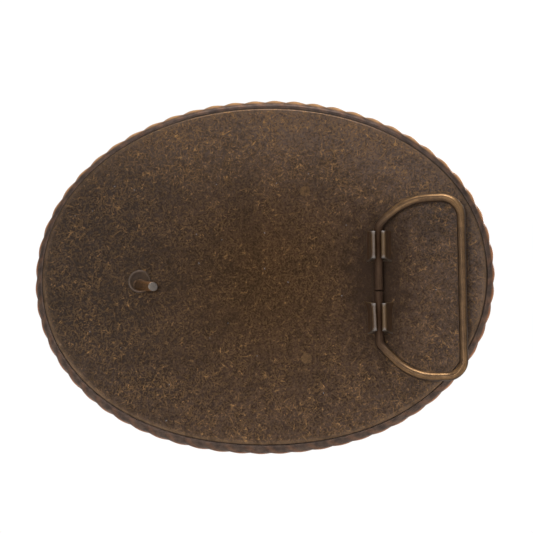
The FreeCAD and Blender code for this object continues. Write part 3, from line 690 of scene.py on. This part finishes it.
# ----------------------------------------------------------------- rope edge
def make_rope():
    """Section, in order: seat wall, back band, outer side, front, inner side, seat floor."""
    count = LOBES * 14
    ring = EdgeRing(count)
    turn = ring.turn
    along = turn / TAU * ring.length
    uneven, drift = waves(turn, UNEVEN), waves(turn, LOBE_DRIFT)
    relief = waves(turn, LOBE_DEPTH)
    size = 1 + 0.03 * wobble(turn, seed=11, cycles=(5, 9, 13, 21))
    edge_wobble = wobble(turn, seed=31, cycles=(7, 13, 29, 41))
    top = unit(ring.out_z)
    skin = Skin()

    # seat rows are darkened: grime with painted shade where the rope meets the plate
    def seat(depth, lift, off=0.0):
        skin.add(ring.at(depth + uneven + off, lift), uv=(along, depth), bright=0.0,
                 grime_and_shade=0.5 if lift > 0.6 else 0.8)

    for depth, lift in ((1.53, 0.0), (1.53, 0.52), (1.48, 0.63)):
        seat(depth, lift, waves(turn, PLATE_OFF))
    # angle round the section: 90 is the back, 0 the outer side, -90 the front
    start, end, steps = math.radians(64.0), math.radians(-185), 38
    for j in range(steps + 1):
        angle = start + (end - start) * j / steps
        degrees = math.degrees(angle)
        phase = 3 * angle - LOBES * turn + 0.9 - drift
        phase = phase + 0.15 * np.sin(phase)
        lobe = np.abs(np.cos(phase / 2)) ** 0.85
        # the relief dies away on the back band and at the inner end
        fade = 1 - 0.92 * (1 / (1 + math.exp(-(degrees - 26) / 7)))
        if degrees < -150:
            fade *= max(0.0, (degrees + 185) / 35)
        radius = ROPE_R * size + relief * fade * (lobe - 0.70)
        points = ring.at(ROPE_DEPTH + uneven - radius * math.cos(angle),
                         ROPE_LIFT + radius * math.sin(angle))
        crest = unit((lobe - 0.72) / 0.28) ** 1.2
        valley = unit((0.45 - lobe) / 0.45)
        onto_back = unit((degrees - 15 - 13 * ring.out_z - 3 * edge_wobble) / 24)
        side = 1 - onto_back * onto_back * (3 - 2 * onto_back)
        front = 1 / (1 + math.exp((degrees + 35) / 9))
        flank = side * (1 - front)
        back = min(1.0, max(0.0, (degrees - 30) / 36))
        # painted shade on the back band, deepening toward the groove, heavier along the top and
        # toward -X
        back_band_shade = 0.36 + 0.22 * top + 0.45 * top * unit(-ring.out_x)
        # bright: painted highlight on the outer side where it faces up, and bare metal on the
        # front crests
        skin.add(points, uv=(along, angle * ROPE_R),
                 wear_and_sheen=unit(crest * (0.35 * flank + 0.55 * front) + 0.62 * flank
                           + 0.12 * crest * (1 - side)),
                 grime_and_shade=unit(valley * fade + back_band_shade * back ** 1.4 + 0.06 * back * valley),
                 bright=unit(0.9 * flank * unit(ring.out_z * 1.3 - 0.1)
                             * (0.55 + 0.45 * crest) + 0.45 * front * crest))
    seat(4.75, -0.7)
    seat(4.75, 0.0)
    ob = skin.build("rope_border", quads(count, len(skin.rows), close_rows=True), sharp=50)
    enrol(ob, "rope_edge")
    ob.data.materials.append(ROPE)


# ---------------------------------------------------------------------- bail
def bail_half(start, leg, bend, sweep, lean, half, reach, corner):
    """Half of the wire's centre line, from its end in the hinge round to the outer bar.

    Points are (distance outward, height along the hinge).
    """
    lean = math.radians(lean)
    slope = (half - leg - bend * math.sin(lean) - sweep * (1 - math.sin(lean))) / math.cos(lean)
    out = [(0.0, start + (leg - start) * j / 12) for j in range(12)]
    out.append((0.0, leg))
    for j in range(1, 9):
        angle = lean * j / 8
        out.append((bend * (1 - math.cos(angle)), leg + bend * math.sin(angle)))
    x, z = out[-1]
    rise_x, rise_z = slope * math.sin(lean), slope * math.cos(lean)
    out += [(x + rise_x * j / 8, z + rise_z * j / 8) for j in range(1, 9)]
    middle = x + rise_x + sweep * math.cos(lean)
    for j in range(1, 17):
        angle = lean + (math.pi / 2 - lean) * j / 16
        out.append((middle - sweep * math.cos(angle), half - sweep + sweep * math.sin(angle)))
    x = out[-1][0]
    out += [(x + (reach - corner - x) * j / 5, half) for j in range(1, 5)]
    for j in range(13):
        angle = math.pi / 2 * j / 12
        out.append((reach - corner + corner * math.sin(angle),
                    half - corner + corner * math.cos(angle)))
    return out


def bail_path():
    """420 even points along the wire's centre line, and its length."""
    upper = bail_half(**UPPER)
    lower = [(x, -z) for x, z in bail_half(**LOWER)[::-1]]
    (x0, z0), (x1, z1) = upper[-1], lower[0]
    bar = [(x0 + (x1 - x0) * j / 24, z0 + (z1 - z0) * j / 24) for j in range(1, 24)]
    points = np.array(upper + bar + lower)
    run = np.concatenate([[0], np.cumsum(np.hypot(*np.diff(points, axis=0).T))])
    want = np.linspace(0, run[-1], 420)
    return np.stack([np.interp(want, run, column) for column in points.T], -1), run[-1]


def make_bail():
    path, length = bail_path()
    steps, count = len(path), 28
    tangent = np.gradient(path, axis=0)
    tangent /= np.linalg.norm(tangent, axis=1)[:, None]
    # turn of the tangent, for the slight flattening at the bends
    turn = np.abs(np.gradient(np.unwrap(np.arctan2(tangent[:, 1], tangent[:, 0]))))
    turn = np.convolve(turn, np.ones(9) / 9, "same") / (length / steps)
    around = np.arange(count) / count * TAU
    cos, sin = np.cos(around), np.sin(around)
    run = np.linspace(0, length, steps)
    skin = Skin()

    def ring(i, radius, push=0.0):
        """A ring of the wire at step i, pushed along it."""
        middle = path[i] + tangent[i] * push
        normal = np.array([-tangent[i, 1], tangent[i, 0]])
        flat = 1 - 0.10 * min(1.0, turn[i] * 3.5)
        radius *= 1 + 0.012 * math.sin(run[i] * 0.9 + 0.5) + 0.008 * math.sin(run[i] * 2.3)
        off_in = radius * cos * (1 / flat ** 0.5)
        points = (HINGE[None] + (middle[0] + normal[0] * off_in)[:, None] * OUTWARD[None]
                  + (middle[1] + normal[1] * off_in)[:, None] * np.array([[0, 0, 1.0]])
                  + (radius * sin * flat)[:, None] * LIFTED[None])
        out, high = path[i]
        in_hinge = unit(1 - (out - 0.05) / 2.4)
        in_lug = max(0.0, 1 - abs(abs(high - 1.55) - 8.2) / 4.2) if in_hinge else 0.0
        # painted highlights along the arms, by how far the surface faces up, with a second
        # painted highlight low on the lower arm and near the hinge on the upper arm
        arm = unit((abs(high) - 11) / 7) * (1 - in_hinge)
        tilt = cos * normal[1]
        up_highlight = unit((tilt - 0.25) / 0.3) * unit((0.97 - tilt) / 0.15)
        low_highlight = unit(1 - np.abs(tilt + 0.42) / 0.3) * (high < 0)
        mid_highlight = unit(1 - np.abs(tilt + 0.30) / 0.26) * (high > 0) * (out < 9.5)
        # painted light on the bar's flank, and wear with a painted highlight on the back of its
        # corners
        bar = unit((out - 16.5) / 2.0)
        flank = unit(1 - np.abs(cos * normal[0] - 0.62) / 0.42) * bar
        elbow = 0.5 if high > 13 else (0.3 if high < -13 else 0.0)
        elbow *= math.exp(-((out - 17.6) / 1.6) ** 2)
        skin.add(points, uv=(run[i] + push, around * WIRE_R),
                 wear_and_sheen=unit(unit(sin) ** 2 * (0.40 - 0.36 * in_hinge + elbow)
                           + arm * (0.85 * up_highlight + 0.6 * low_highlight + 0.5 * mid_highlight)
                           + 0.38 * flank),
                 # darker on the grimy hinge leg and where the wire runs through the lugs;
                 # painted shade on the underside, toward the plate
                 grime_and_shade=unit(0.38 * in_hinge + 0.62 * in_lug ** 0.6 + 0.35 * unit(-sin)))

    # the ends are chamfered
    ring(0, WIRE_R - 0.14)
    ring(0, WIRE_R - 0.02, push=0.09)
    for i in range(1, steps - 1):
        ring(i, WIRE_R)
    ring(steps - 1, WIRE_R - 0.02, push=-0.09)
    ring(steps - 1, WIRE_R - 0.14)
    faces = quads(count, len(skin.rows))
    last = skin.total - count
    for first, row, along in ((0, skin.rows[0], 0), (last, skin.rows[-1], length)):
        centre = skin.add(row.mean(0), uv=(along, 0), wear_and_sheen=0.2, grime_and_shade=0.2)
        faces += fan(count, first, centre)
    ob = skin.build("bail_wire", faces, sharp=48)
    enrol(ob, "bail_loop", body="bail")
    ob.data.materials.append(WIRE)


# ---------------------------------------------------------------------- lugs
LUG_STATIONS = (-1, -0.985, -0.95, -0.88, -0.72, -0.5, -0.25, 0,
                0.25, 0.5, 0.72, 0.88, 0.95, 0.985, 1)
EAR_TOP_X = (1.79, 1.76, 1.70, 1.62, 1.54, 1.46, 1.36, 1.25,
             1.14, 1.04, 0.96, 0.89, 0.83, 0.79, 0.76)


def lug_section():
    """The U section as a loop: x, lift and the part each point is on."""
    half = [(0.0, 0.95, "base"), (1.4, 0.95, "base"), (2.78, 0.95, "foot"), (2.78, 1.22, "foot")]
    for part in np.linspace(0, 1, 9)[1:]:
        half.append((1.80 + (2.78 - 1.80) * (1 - part) ** 2.0,
                     1.22 + (4.50 - 1.22) * part, "flank"))
    for x in EAR_TOP_X:
        half.append((x, 4.90 - 0.34 * abs((x - 1.26) / 0.53) ** 3.2, "top"))
    half += [(0.76, 4.3, "mouth"), (0.75, 3.80, "mouth")]
    # bore of radius 1.015 about lift 3.115, from the mouth to its bottom
    start = math.atan2(0.684, 0.75)
    for j in range(1, 13):
        angle = start + (-math.pi / 2 - start) * j / 12
        half.append((1.015 * math.cos(angle), 3.115 + 1.015 * math.sin(angle), "bore"))
    loop = half + [(-x, lift, tag) for x, lift, tag in half[::-1]][1:-1]
    return [np.array(column) for column in zip(*loop)]


def make_lug(name, node, mid_z, lean, flare):
    """A lug whose +X ear leans along its length and whose upper end flares at the foot."""
    x, lift, tag = lug_section()
    top, base, mouth, bore = (tag == part for part in ("top", "base", "mouth", "bore"))
    foot, flank = tag == "foot", tag == "flank"
    plus = x > 0
    side = np.sign(x)
    level = unit((lift - 1.2) / 3.7)
    ear = (top | flank) & (np.abs(x) > 1.0)
    skin = Skin()
    for t in LUG_STATIONS:
        # ends of the ears are a touch rounded over
        close = max(0.0, (abs(t) - 0.9) / 0.1) ** 2
        z = t * (3.45 - 0.30 * level) - 0.10 * math.copysign(close, t) * level
        shaped = x - ear * side * 0.10 * close * level
        shaped = shaped + lean * level * t * np.where(plus, 1, 0.25)
        shaped = shaped - (x > 0.7) * (0.34 + 0.5 * lean) * level ** 5
        spread = flare * np.where(plus, 1.9, 1.0) * unit((t - 0.4) / 0.6) ** 2
        spread = spread * (1 - level) * (np.abs(x) > 1.2)
        shaped = shaped + side * spread
        z = z + np.where(plus, 0.6, 0.4) * spread
        end = max(0.0, (abs(t) - 0.7) / 0.3) ** 1.5
        # a bright band of bare metal along each ear's top, wider at the ends and brighter there
        # with a painted highlight
        reach = 0.33 + 0.34 * end - np.where(x < 0, 0.06, 0.0)
        gleam = np.where(x < 0, 0.10 + 0.90 * end, 0.40 + 0.60 * end)
        gleam = gleam * unit((reach - np.abs(np.abs(x) - 1.25)) / 0.14)
        skin.add(bowed(LUG_X + shaped, mid_z + z, lift - 0.12 * close * level ** 3),
                 wear_and_sheen=np.select([(top | foot | flank) & (abs(t) > 0.96), top & (x < 0), top],
                                [0.9, 0.55, 0.2]),
                 grime_and_shade=np.select([bore, mouth, base, (foot | flank) & (x < 0), top],
                                [0.6, 0.5, 0.3, 0.10, 0.26 * (1 - end)]),
                 bright=np.select([top, (foot | flank) & (t < -0.94)], [gleam, 0.4]))
    count = len(x)
    faces = quads(count, len(skin.rows))
    faces.append(tuple(range(count)))
    faces.append(tuple(range(skin.total - count, skin.total))[::-1])
    ob = skin.build(name, faces, sharp=40)
    enrol(ob, node)
    ob.data.materials.append(LUG)
    bevel = ob.modifiers.new("edges", "BEVEL")
    bevel.width = 0.12 * MM
    bevel.segments = 3
    bevel.limit_method = "ANGLE"
    bevel.angle_limit = math.radians(50)
    bake(ob)
    ob.data.shade_smooth()
    ob.modifiers.new("normals", "WEIGHTED_NORMAL").keep_sharp = False


# ---------------------------------------------------------------------- hook
def hook_flange(seat, normal):
    """Round flange with a soft raised lip, and its shank through the plate."""
    profile = [(0.0, -0.02), (1.5, -0.02), (1.5, 1.1), (2.58, 1.1), (2.62, 1.2)]
    for j in range(1, 9):
        angle = j / 8 * math.pi / 2
        profile.append((2.65 - 0.26 * (1 - math.cos(angle)), 1.38 + 0.26 * math.sin(angle)))
    profile += [(2.2, 1.655), (1.95, 1.63), (1.7, 1.585), (1.2, 1.56), (0.6, 1.56), (0.0, 1.56)]
    return mesh_object("hook_flange", *lathe(profile, 72, normal, seat))


def hook_post(direction, normal):
    """Leaning post: tapered root, round shaft, domed end face cut on a slant."""
    profile = [(0.0, 0.0), (1.34, 0.0), (1.30, 0.35), (1.22, 0.8), (1.15, 1.3), (1.10, 2.0),
               (POST_R, 2.75), (POST_R, 3.9), (POST_R, 4.7)]
    for j in range(1, 7):
        angle = j / 6 * math.pi / 2
        profile.append((POST_R - 0.30 * (1 - math.cos(angle)),
                        POST_L - 0.33 + 0.26 * math.sin(angle)))
    profile += [(0.6, POST_L - 0.045), (0.35, POST_L - 0.015), (0.0, POST_L)]
    points, faces = lathe(profile, 48, POST_DIR, POST_ROOT)
    # shear the last part so that the end face turns toward the back
    from_root = points - np.array(POST_ROOT)
    side = normal - np.dot(normal, direction) * direction
    side /= np.linalg.norm(side)
    weight = unit((from_root @ direction - 3.9) / 1.35) ** 2
    points = points - np.outer(weight * (from_root @ side) * 0.42, direction)
    return mesh_object("hook_post", points, faces)


def vertex_vectors(mesh, key):
    values = np.zeros(len(mesh.vertices) * 3)
    mesh.vertices.foreach_get(key, values)
    return values.reshape(-1, 3)


def hook_looks(mesh, seat, direction, normal):
    """Wear, grime and bright metal by place on the flange and the post, with painted highlights
    on the lip and along the post's sides, and painted shade round the post's root and at the
    tip's centre.
    """
    points = vertex_vectors(mesh, "co") / MM
    from_root = points - np.array(POST_ROOT)
    along = from_root @ direction
    off = from_root - np.outer(along, direction)
    from_axis = np.linalg.norm(off, axis=1)
    facing = vertex_vectors(mesh, "normal") @ direction
    tip = unit((along - 4.4) / 0.5) * unit((facing - 0.35) / 0.35)
    core = unit(1 - from_axis / 0.75) * tip
    from_seat = points - np.array(seat)
    lift = from_seat @ normal
    radius = np.linalg.norm(from_seat - np.outer(lift, normal), axis=1)
    # painted highlight on the flange's lip, stronger toward +X and +Z
    part_x, part_z = from_seat[:, 0] / 2.4, from_seat[:, 2] / 2.4
    lip = np.exp(-((radius - 2.42) / 0.18) ** 2) * (lift < 1.75) * (lift > 1.35)
    lip = lip * (0.55 + 0.75 * unit(part_x + 0.5 * part_z) + 0.3 * unit(-part_z))
    # the post is worn more toward its tip, with painted highlights along its upper and lower
    # sides
    updown = np.abs(off[:, 2] / 1.08)
    shaft = (0.22 + 0.62 * unit((along - 1.2) / 2.6)) * (1 - tip)
    shaft = (shaft * (0.5 + 0.85 * unit((updown - 0.35) / 0.45))
             * unit((1.42 - from_axis) / 0.2))
    # painted shade on the flange round the post's root, and the tip's centre painted darker than
    # its rim; darker low on the flange's side
    post_root_shade = unit((2.2 - radius) / 0.4) * (lift < 1.68) * unit((from_axis - 1.25) / 0.2) * 0.25
    flange_foot_dark = unit((1.42 - lift) / 0.15) * 0.9
    return {"wear_and_sheen": unit(0.12 * lip + shaft), "grime_and_shade": unit(post_root_shade + flange_foot_dark + 0.22 * core),
            "bright": unit(tip + 0.34 * lip)}


def make_hook():
    seat, normal = seat_and_normal(HOOK_X, HOOK_Z)
    direction, unit_normal = np.array(POST_DIR), np.array(normal.normalized())
    ob = hook_flange(seat, normal)
    post = hook_post(direction, unit_normal)
    join = ob.modifiers.new("join", "BOOLEAN")
    join.operation = "UNION"
    join.solver = "EXACT"
    join.object = post
    blend = ob.modifiers.new("blend", "REMESH")
    blend.mode = "VOXEL"
    blend.voxel_size = 0.062 * MM
    soften = ob.modifiers.new("soften", "SMOOTH")
    soften.factor = 0.5
    soften.iterations = 6
    bake(ob)
    post_mesh = post.data
    bpy.data.objects.remove(post)
    bpy.data.meshes.remove(post_mesh)
    mesh = ob.data
    ob.name = mesh.name = "hook_stud"
    set_attributes(mesh, hook_looks(mesh, seat, direction, unit_normal))
    mesh.shade_smooth()
    enrol(ob, "hook_prong")
    # the join may leave empty slots
    mesh.materials.clear()
    mesh.materials.append(HOOK)


# -------------------------------------------------------------------- rivets
RIVET_PROFILE = [   # radius, lift
    (0.0, -1.29), (1.25, -1.29), (1.33, -1.21), (1.33, 1.14), (1.30, 1.19), (1.22, 1.222),
    (1.05, 1.235), (0.75, 1.232), (0.4, 1.225), (0.0, 1.222)]


def make_rivets():
    skin, faces = Skin(), []
    for x, z in RIVETS:
        seat, normal = seat_and_normal(x, z)
        points, turned = lathe(RIVET_PROFILE, 56, normal, seat)
        first = skin.add(points, wear_and_sheen=0.12)
        faces += [tuple(first + k for k in face) for face in turned]
    ob = skin.build("peened_rivets", faces, sharp=40)
    enrol(ob, "medallion_rivets")
    ob.data.materials.append(RIVET)


# --------------------------------------------------------------------- front
def spiral(x, y, radii, degrees):
    """26 points of a spiral about x, y between two radii and two angles."""
    part = np.linspace(0, 1, 26)
    radius = radii[0] + (radii[1] - radii[0]) * part
    start, end = (math.radians(angle) for angle in degrees)
    angle = start + (end - start) * part
    return np.stack([x + radius * np.cos(angle), y + radius * np.sin(angle)], -1)


# One repeat of the leaf scroll: points (along, inward), half width at start and end, height
SCROLL = [
    (spiral(-1.4, 0.2, radii=(3.3, 0.7), degrees=(200, -330)), 0.75, 0.45, 0.55),
    (spiral(3.2, -1.2, radii=(2.2, 0.5), degrees=(20, -400)), 0.6, 0.35, 0.5),
    ([(-6.0, 2.6), (-4.0, 2.9), (-2.0, 3.4), (0.0, 3.3), (2.0, 2.4), (3.6, 1.2)],
     0.55, 0.75, 0.5),
    ([(1.6, 3.4), (2.6, 4.2), (3.4, 4.6)], 0.75, 0.12, 0.45),
    ([(-2.6, 3.6), (-2.0, 4.6), (-1.0, 5.0)], 0.7, 0.12, 0.45),
    ([(4.0, 1.6), (5.0, 2.2), (6.0, 2.6)], 0.6, 0.4, 0.45),
    ([(-5.0, -2.2), (-4.0, -3.2), (-3.0, -3.6)], 0.12, 0.6, 0.4),
    ([(0.4, -3.2), (1.4, -3.9), (2.6, -4.1)], 0.6, 0.12, 0.4),
]


def scroll_height(along, inward):
    """Height of the scroll's rounded strokes."""
    out = np.zeros_like(along)
    for points, width0, width1, height in SCROLL:
        points = np.asarray(points, float)
        pieces = len(points) - 1
        for i, (start, end) in enumerate(zip(points, points[1:])):
            step = end - start
            du, dv = along - start[0], inward - start[1]
            part = unit((du * step[0] + dv * step[1]) / (step @ step + 1e-12))
            away = np.hypot(du - part * step[0], dv - part * step[1])
            width = width0 + (width1 - width0) * (i + part) / pieces
            out = np.maximum(out, height * dome(away / width))
    return out


def make_face_plate():
    """The field round the medallion: a bead row and running leaf scrolls in low relief."""
    count, repeats, beads = 1080, 20, 150
    depth_out, depth_in = 4.74, 20.2
    ring = EdgeRing(count)
    part = np.arange(count) / count
    # the path shortens inward, so repeats are a little under their share of the outline
    along = repeat(part, repeats) * (ring.length * 0.80 / repeats)
    bead_along = repeat(part, beads) * ring.length * 0.9 / beads
    # every other repeat is turned over
    flip = (np.floor(part * repeats).astype(int) % 2) * 2 - 1
    skin = Skin()
    for depth in depth_out + (depth_in - depth_out) * np.linspace(0, 1, 74):
        inward = depth - depth_out
        bead = 0.5 * dome(np.hypot(bead_along, inward - 1.1) / 0.72)
        rail = 0.28 * dome((inward - 2.35) / 0.28)
        height = np.maximum(bead, rail)
        if inward > 2.9:
            height = np.maximum(height, scroll_height(along, flip * (inward - 7.4)))
        skin.add(ring.at(depth, -FACE_T - height * (inward > 0.25)),
                 wear_and_sheen=unit((height - 0.28) / 0.25) * 0.8, grime_and_shade=unit(1 - height / 0.12) * 0.75)
    # plain ground under the medallion, then the back from the middle outward
    for shrink in (0.8, 0.5, 0.2):
        skin.add(ring.at(depth_in, -FACE_T, shrink))
    front_rows, back = len(skin.rows), skin.total
    for shrink in (0.2, 0.5, 0.8, 1.0):
        skin.add(ring.at(depth_in, 0.0, shrink))
    skin.add(ring.at(depth_out + 0.05, 0.0))
    rim = skin.add(ring.at(depth_out, -0.05))
    faces = quads(count, front_rows)
    faces += quads(count, len(skin.rows) - front_rows, first=back)
    faces += fan(count, back - count, skin.add(bowed(0.0, 0.0, -FACE_T)))
    faces += fan(count, back, skin.add(bowed(0.0, 0.0, 0.0)), turned=True)
    for u in range(count):
        u1 = (u + 1) % count
        faces.append((rim + u, rim + u1, u1, u))
    ob = skin.build("face_scrolls", faces)
    enrol(ob, "face_plate")
    ob.data.materials.append(FACE)


def medallion_height(radius, angle, bead_along):
    """Relief at a share of the radius: border, bead row, petals and centre flower."""
    edge = (1 - radius) * 29.0           # about millimetres in from the border
    height = 0.45 * dome(np.hypot(bead_along, edge - 3.3) / 0.62)
    height = np.maximum(height, 0.5 * dome((edge - 1.1) / 1.1))
    if edge > 4.4 and radius > 0.30:
        part = (edge - 4.4) / (29 * 0.70 - 4.4)
        half = 0.46 * math.sin(math.pi * min(1.0, (0.08 + part) ** 0.8)) + 0.05
        across = np.abs(repeat(angle / TAU, 24)) / max(0.05, half)
        vein = 0.35 * np.exp(-(across / 0.16) ** 2)
        rise = math.sin(math.pi * min(1, max(0, part * 0.94 + 0.03))) ** 0.35
        height = np.maximum(height, 0.62 * unit(dome(across) - vein) * rise)
    if radius <= 0.30:
        part = radius / 0.30
        lobe = 0.5 + 0.5 * np.cos(8 * angle)
        reach = 0.62 + 0.38 * lobe ** 0.6
        height = np.maximum(height, 0.7 * dome(part / reach) * (0.72 + 0.28 * lobe))
        height = np.maximum(height, 0.95 * dome(part / 0.34))
    return height


def make_medallion():
    """Oval boss on the front, in relief."""
    count, beads = 1008, 108
    around, length = even_angles(lambda angle: (MEDAL_A * np.cos(angle),
                                                MEDAL_B * np.sin(angle)), count, 20001)
    cos, sin = np.cos(around), np.sin(around)
    angle = np.arctan2(sin, cos)
    bead_along = repeat(np.arange(count) / count, beads) * length * 0.88 / beads
    skin = Skin()
    # underside and side wall: half axes, lift
    for half_x, half_z, lift in ((16.0, 12.0, -FACE_T),
                                 (MEDAL_A - 0.2, MEDAL_B - 0.2, -FACE_T),
                                 (MEDAL_A, MEDAL_B, -0.62), (MEDAL_A, MEDAL_B, -1.2)):
        skin.add(bowed(half_x * cos, half_z * sin, lift))
    for radius in 1 - np.linspace(0, 1, 84) ** 0.85 * 0.99:
        height = medallion_height(radius, angle, bead_along)
        skin.add(bowed(MEDAL_A * cos * radius, MEDAL_B * sin * radius, MEDAL_LIFT - height),
                 wear_and_sheen=unit((height - 0.3) / 0.3) * 0.85, grime_and_shade=unit(1 - height / 0.14) * 0.7)
    faces = quads(count, len(skin.rows))
    last = skin.total - count
    faces += fan(count, 0, skin.add(bowed(0.0, 0.0, -FACE_T)), turned=True)
    faces += fan(count, last, skin.add(bowed(0.0, 0.0, MEDAL_LIFT - 0.95), wear_and_sheen=0.8))
    ob = skin.build("concho_medallion", faces)
    enrol(ob, "front_medallion")
    ob.data.materials.append(MEDAL)


make_back_plate()
make_rope()
make_bail()
make_lug("hinge_ear_upper", "hinge_lug_upper", mid_z=6.0, lean=0.0, flare=0.0)
make_lug("hinge_ear_lower", "hinge_lug_lower", mid_z=-10.4, lean=0.12, flare=0.5)
make_hook()
make_rivets()
make_face_plate()
make_medallion()

# --------------------------------------------------------------- stage, light
# Positions here are in metres.
scene = bpy.context.scene
scene.view_settings.view_transform = "Standard"
scene.view_settings.look = "None"
scene.view_settings.exposure = 0.0
scene.view_settings.gamma = 1.0


def make_world():
    """White to the camera, a soft grey-to-white sky to everything else."""
    world = bpy.data.worlds.new("studio")
    scene.world = world
    world.use_nodes = True
    world.node_tree.nodes.clear()
    nodes = Nodes(world.node_tree)
    seen = nodes.new("ShaderNodeBackground", {"Color": (1, 1, 1, 1), "Strength": 1.02})
    coords = nodes.new("ShaderNodeTexCoord").outputs["Generated"]
    height = nodes.new("ShaderNodeSeparateXYZ", {0: coords}).outputs[2]
    sky = nodes.mix(nodes.ramp(height, over=(-0.35, 0.85)), (0.80, 0.79, 0.78), (1.0, 1.0, 1.0))
    lit = nodes.new("ShaderNodeBackground", {"Color": sky, "Strength": 0.50})
    to_camera = nodes.new("ShaderNodeLightPath").outputs["Is Camera Ray"]
    both = nodes.new("ShaderNodeMixShader",
                     {0: to_camera, 1: lit.outputs[0], 2: seen.outputs[0]})
    nodes.new("ShaderNodeOutputWorld", {0: both.outputs[0]})


def make_floor():
    """A pale disc that fades to white away from the buckle."""
    count, radius = 96, 4.0
    angles = [TAU * i / count for i in range(count)]
    points = [(0, 0, 0)] + [(radius * math.cos(a), radius * math.sin(a), 0) for a in angles]
    faces = [(0, 1 + i, 1 + (i + 1) % count) for i in range(count)]
    mesh = bpy.data.meshes.new("studio_floor")
    mesh.from_pydata(points, [], faces)
    ob = bpy.data.objects.new("studio_floor", mesh)
    ob.location = (0, 0, -0.085)
    scene.collection.objects.link(ob)
    material, nodes = blank_material("pale_floor")
    pale = nodes.new("ShaderNodeBsdfDiffuse", {"Color": (0.80, 0.79, 0.77, 1)})
    white = nodes.new("ShaderNodeEmission", {"Color": (1, 1, 1, 1)})
    place = nodes.new("ShaderNodeNewGeometry").outputs["Position"]
    away = nodes.new("ShaderNodeVectorMath", {0: place}, operation="LENGTH").outputs["Value"]
    to_camera = nodes.new("ShaderNodeLightPath").outputs["Is Camera Ray"]
    share = nodes.mul(nodes.ramp(away, over=(0.18, 1.3)), to_camera)
    both = nodes.new("ShaderNodeMixShader", {0: share, 1: pale.outputs[0], 2: white.outputs[0]})
    nodes.new("ShaderNodeOutputMaterial", {"Surface": both.outputs[0]})
    mesh.materials.append(material)


def area(name, at, size, power, colour, size_y=None):
    """An area light aimed at the origin."""
    light = bpy.data.lights.new(name, "AREA")
    light.energy = power
    light.color = colour
    light.size = size
    if size_y:
        light.shape = "RECTANGLE"
        light.size_y = size_y
    ob = bpy.data.objects.new(name, light)
    ob.location = at
    ob.rotation_mode = "QUATERNION"
    ob.rotation_quaternion = (-Vector(at)).to_track_quat("-Z", "Y")
    scene.collection.objects.link(ob)


def make_camera():
    data = bpy.data.cameras.new("camera")
    data.sensor_width = 36.0
    data.sensor_fit = "AUTO"
    data.lens = 177.860938
    data.shift_x = 0.00614071
    data.shift_y = 0.01903377
    data.clip_start = 0.01
    data.clip_end = 20.0
    camera = bpy.data.objects.new("camera", data)
    # radians: a little below the buckle and turned from its back toward -X
    rise, swing, roll = math.radians(-7.0), 0.09834987, 0.0068081
    distance, target = 0.6, Vector((0, -3.33 * MM, 0))
    toward = Vector((-math.sin(swing) * math.cos(rise), math.cos(swing) * math.cos(rise),
                     math.sin(rise)))
    camera.location = target + toward * distance
    camera.rotation_mode = "QUATERNION"
    rolled = Matrix.Rotation(-roll, 4, toward).to_quaternion()
    camera.rotation_quaternion = rolled @ (-toward).to_track_quat("-Z", "Y")
    scene.collection.objects.link(camera)
    scene.camera = camera


make_world()
make_floor()
area("key", at=(0.02, 0.50, 0.95), size=0.40, power=7.4, colour=(1.0, 0.985, 0.96))
area("fill", at=(-0.7, 0.9, 0.02), size=0.4, power=0.6, colour=(0.97, 0.98, 1.0))
area("low", at=(0.1, 0.75, -0.02), size=0.25, size_y=0.1, power=0.8, colour=(1.0, 0.99, 0.97))
area("front_key", at=(-0.28, -1.15, 0.42), size=0.5, power=5.5, colour=(1.0, 0.98, 0.96))
make_camera()
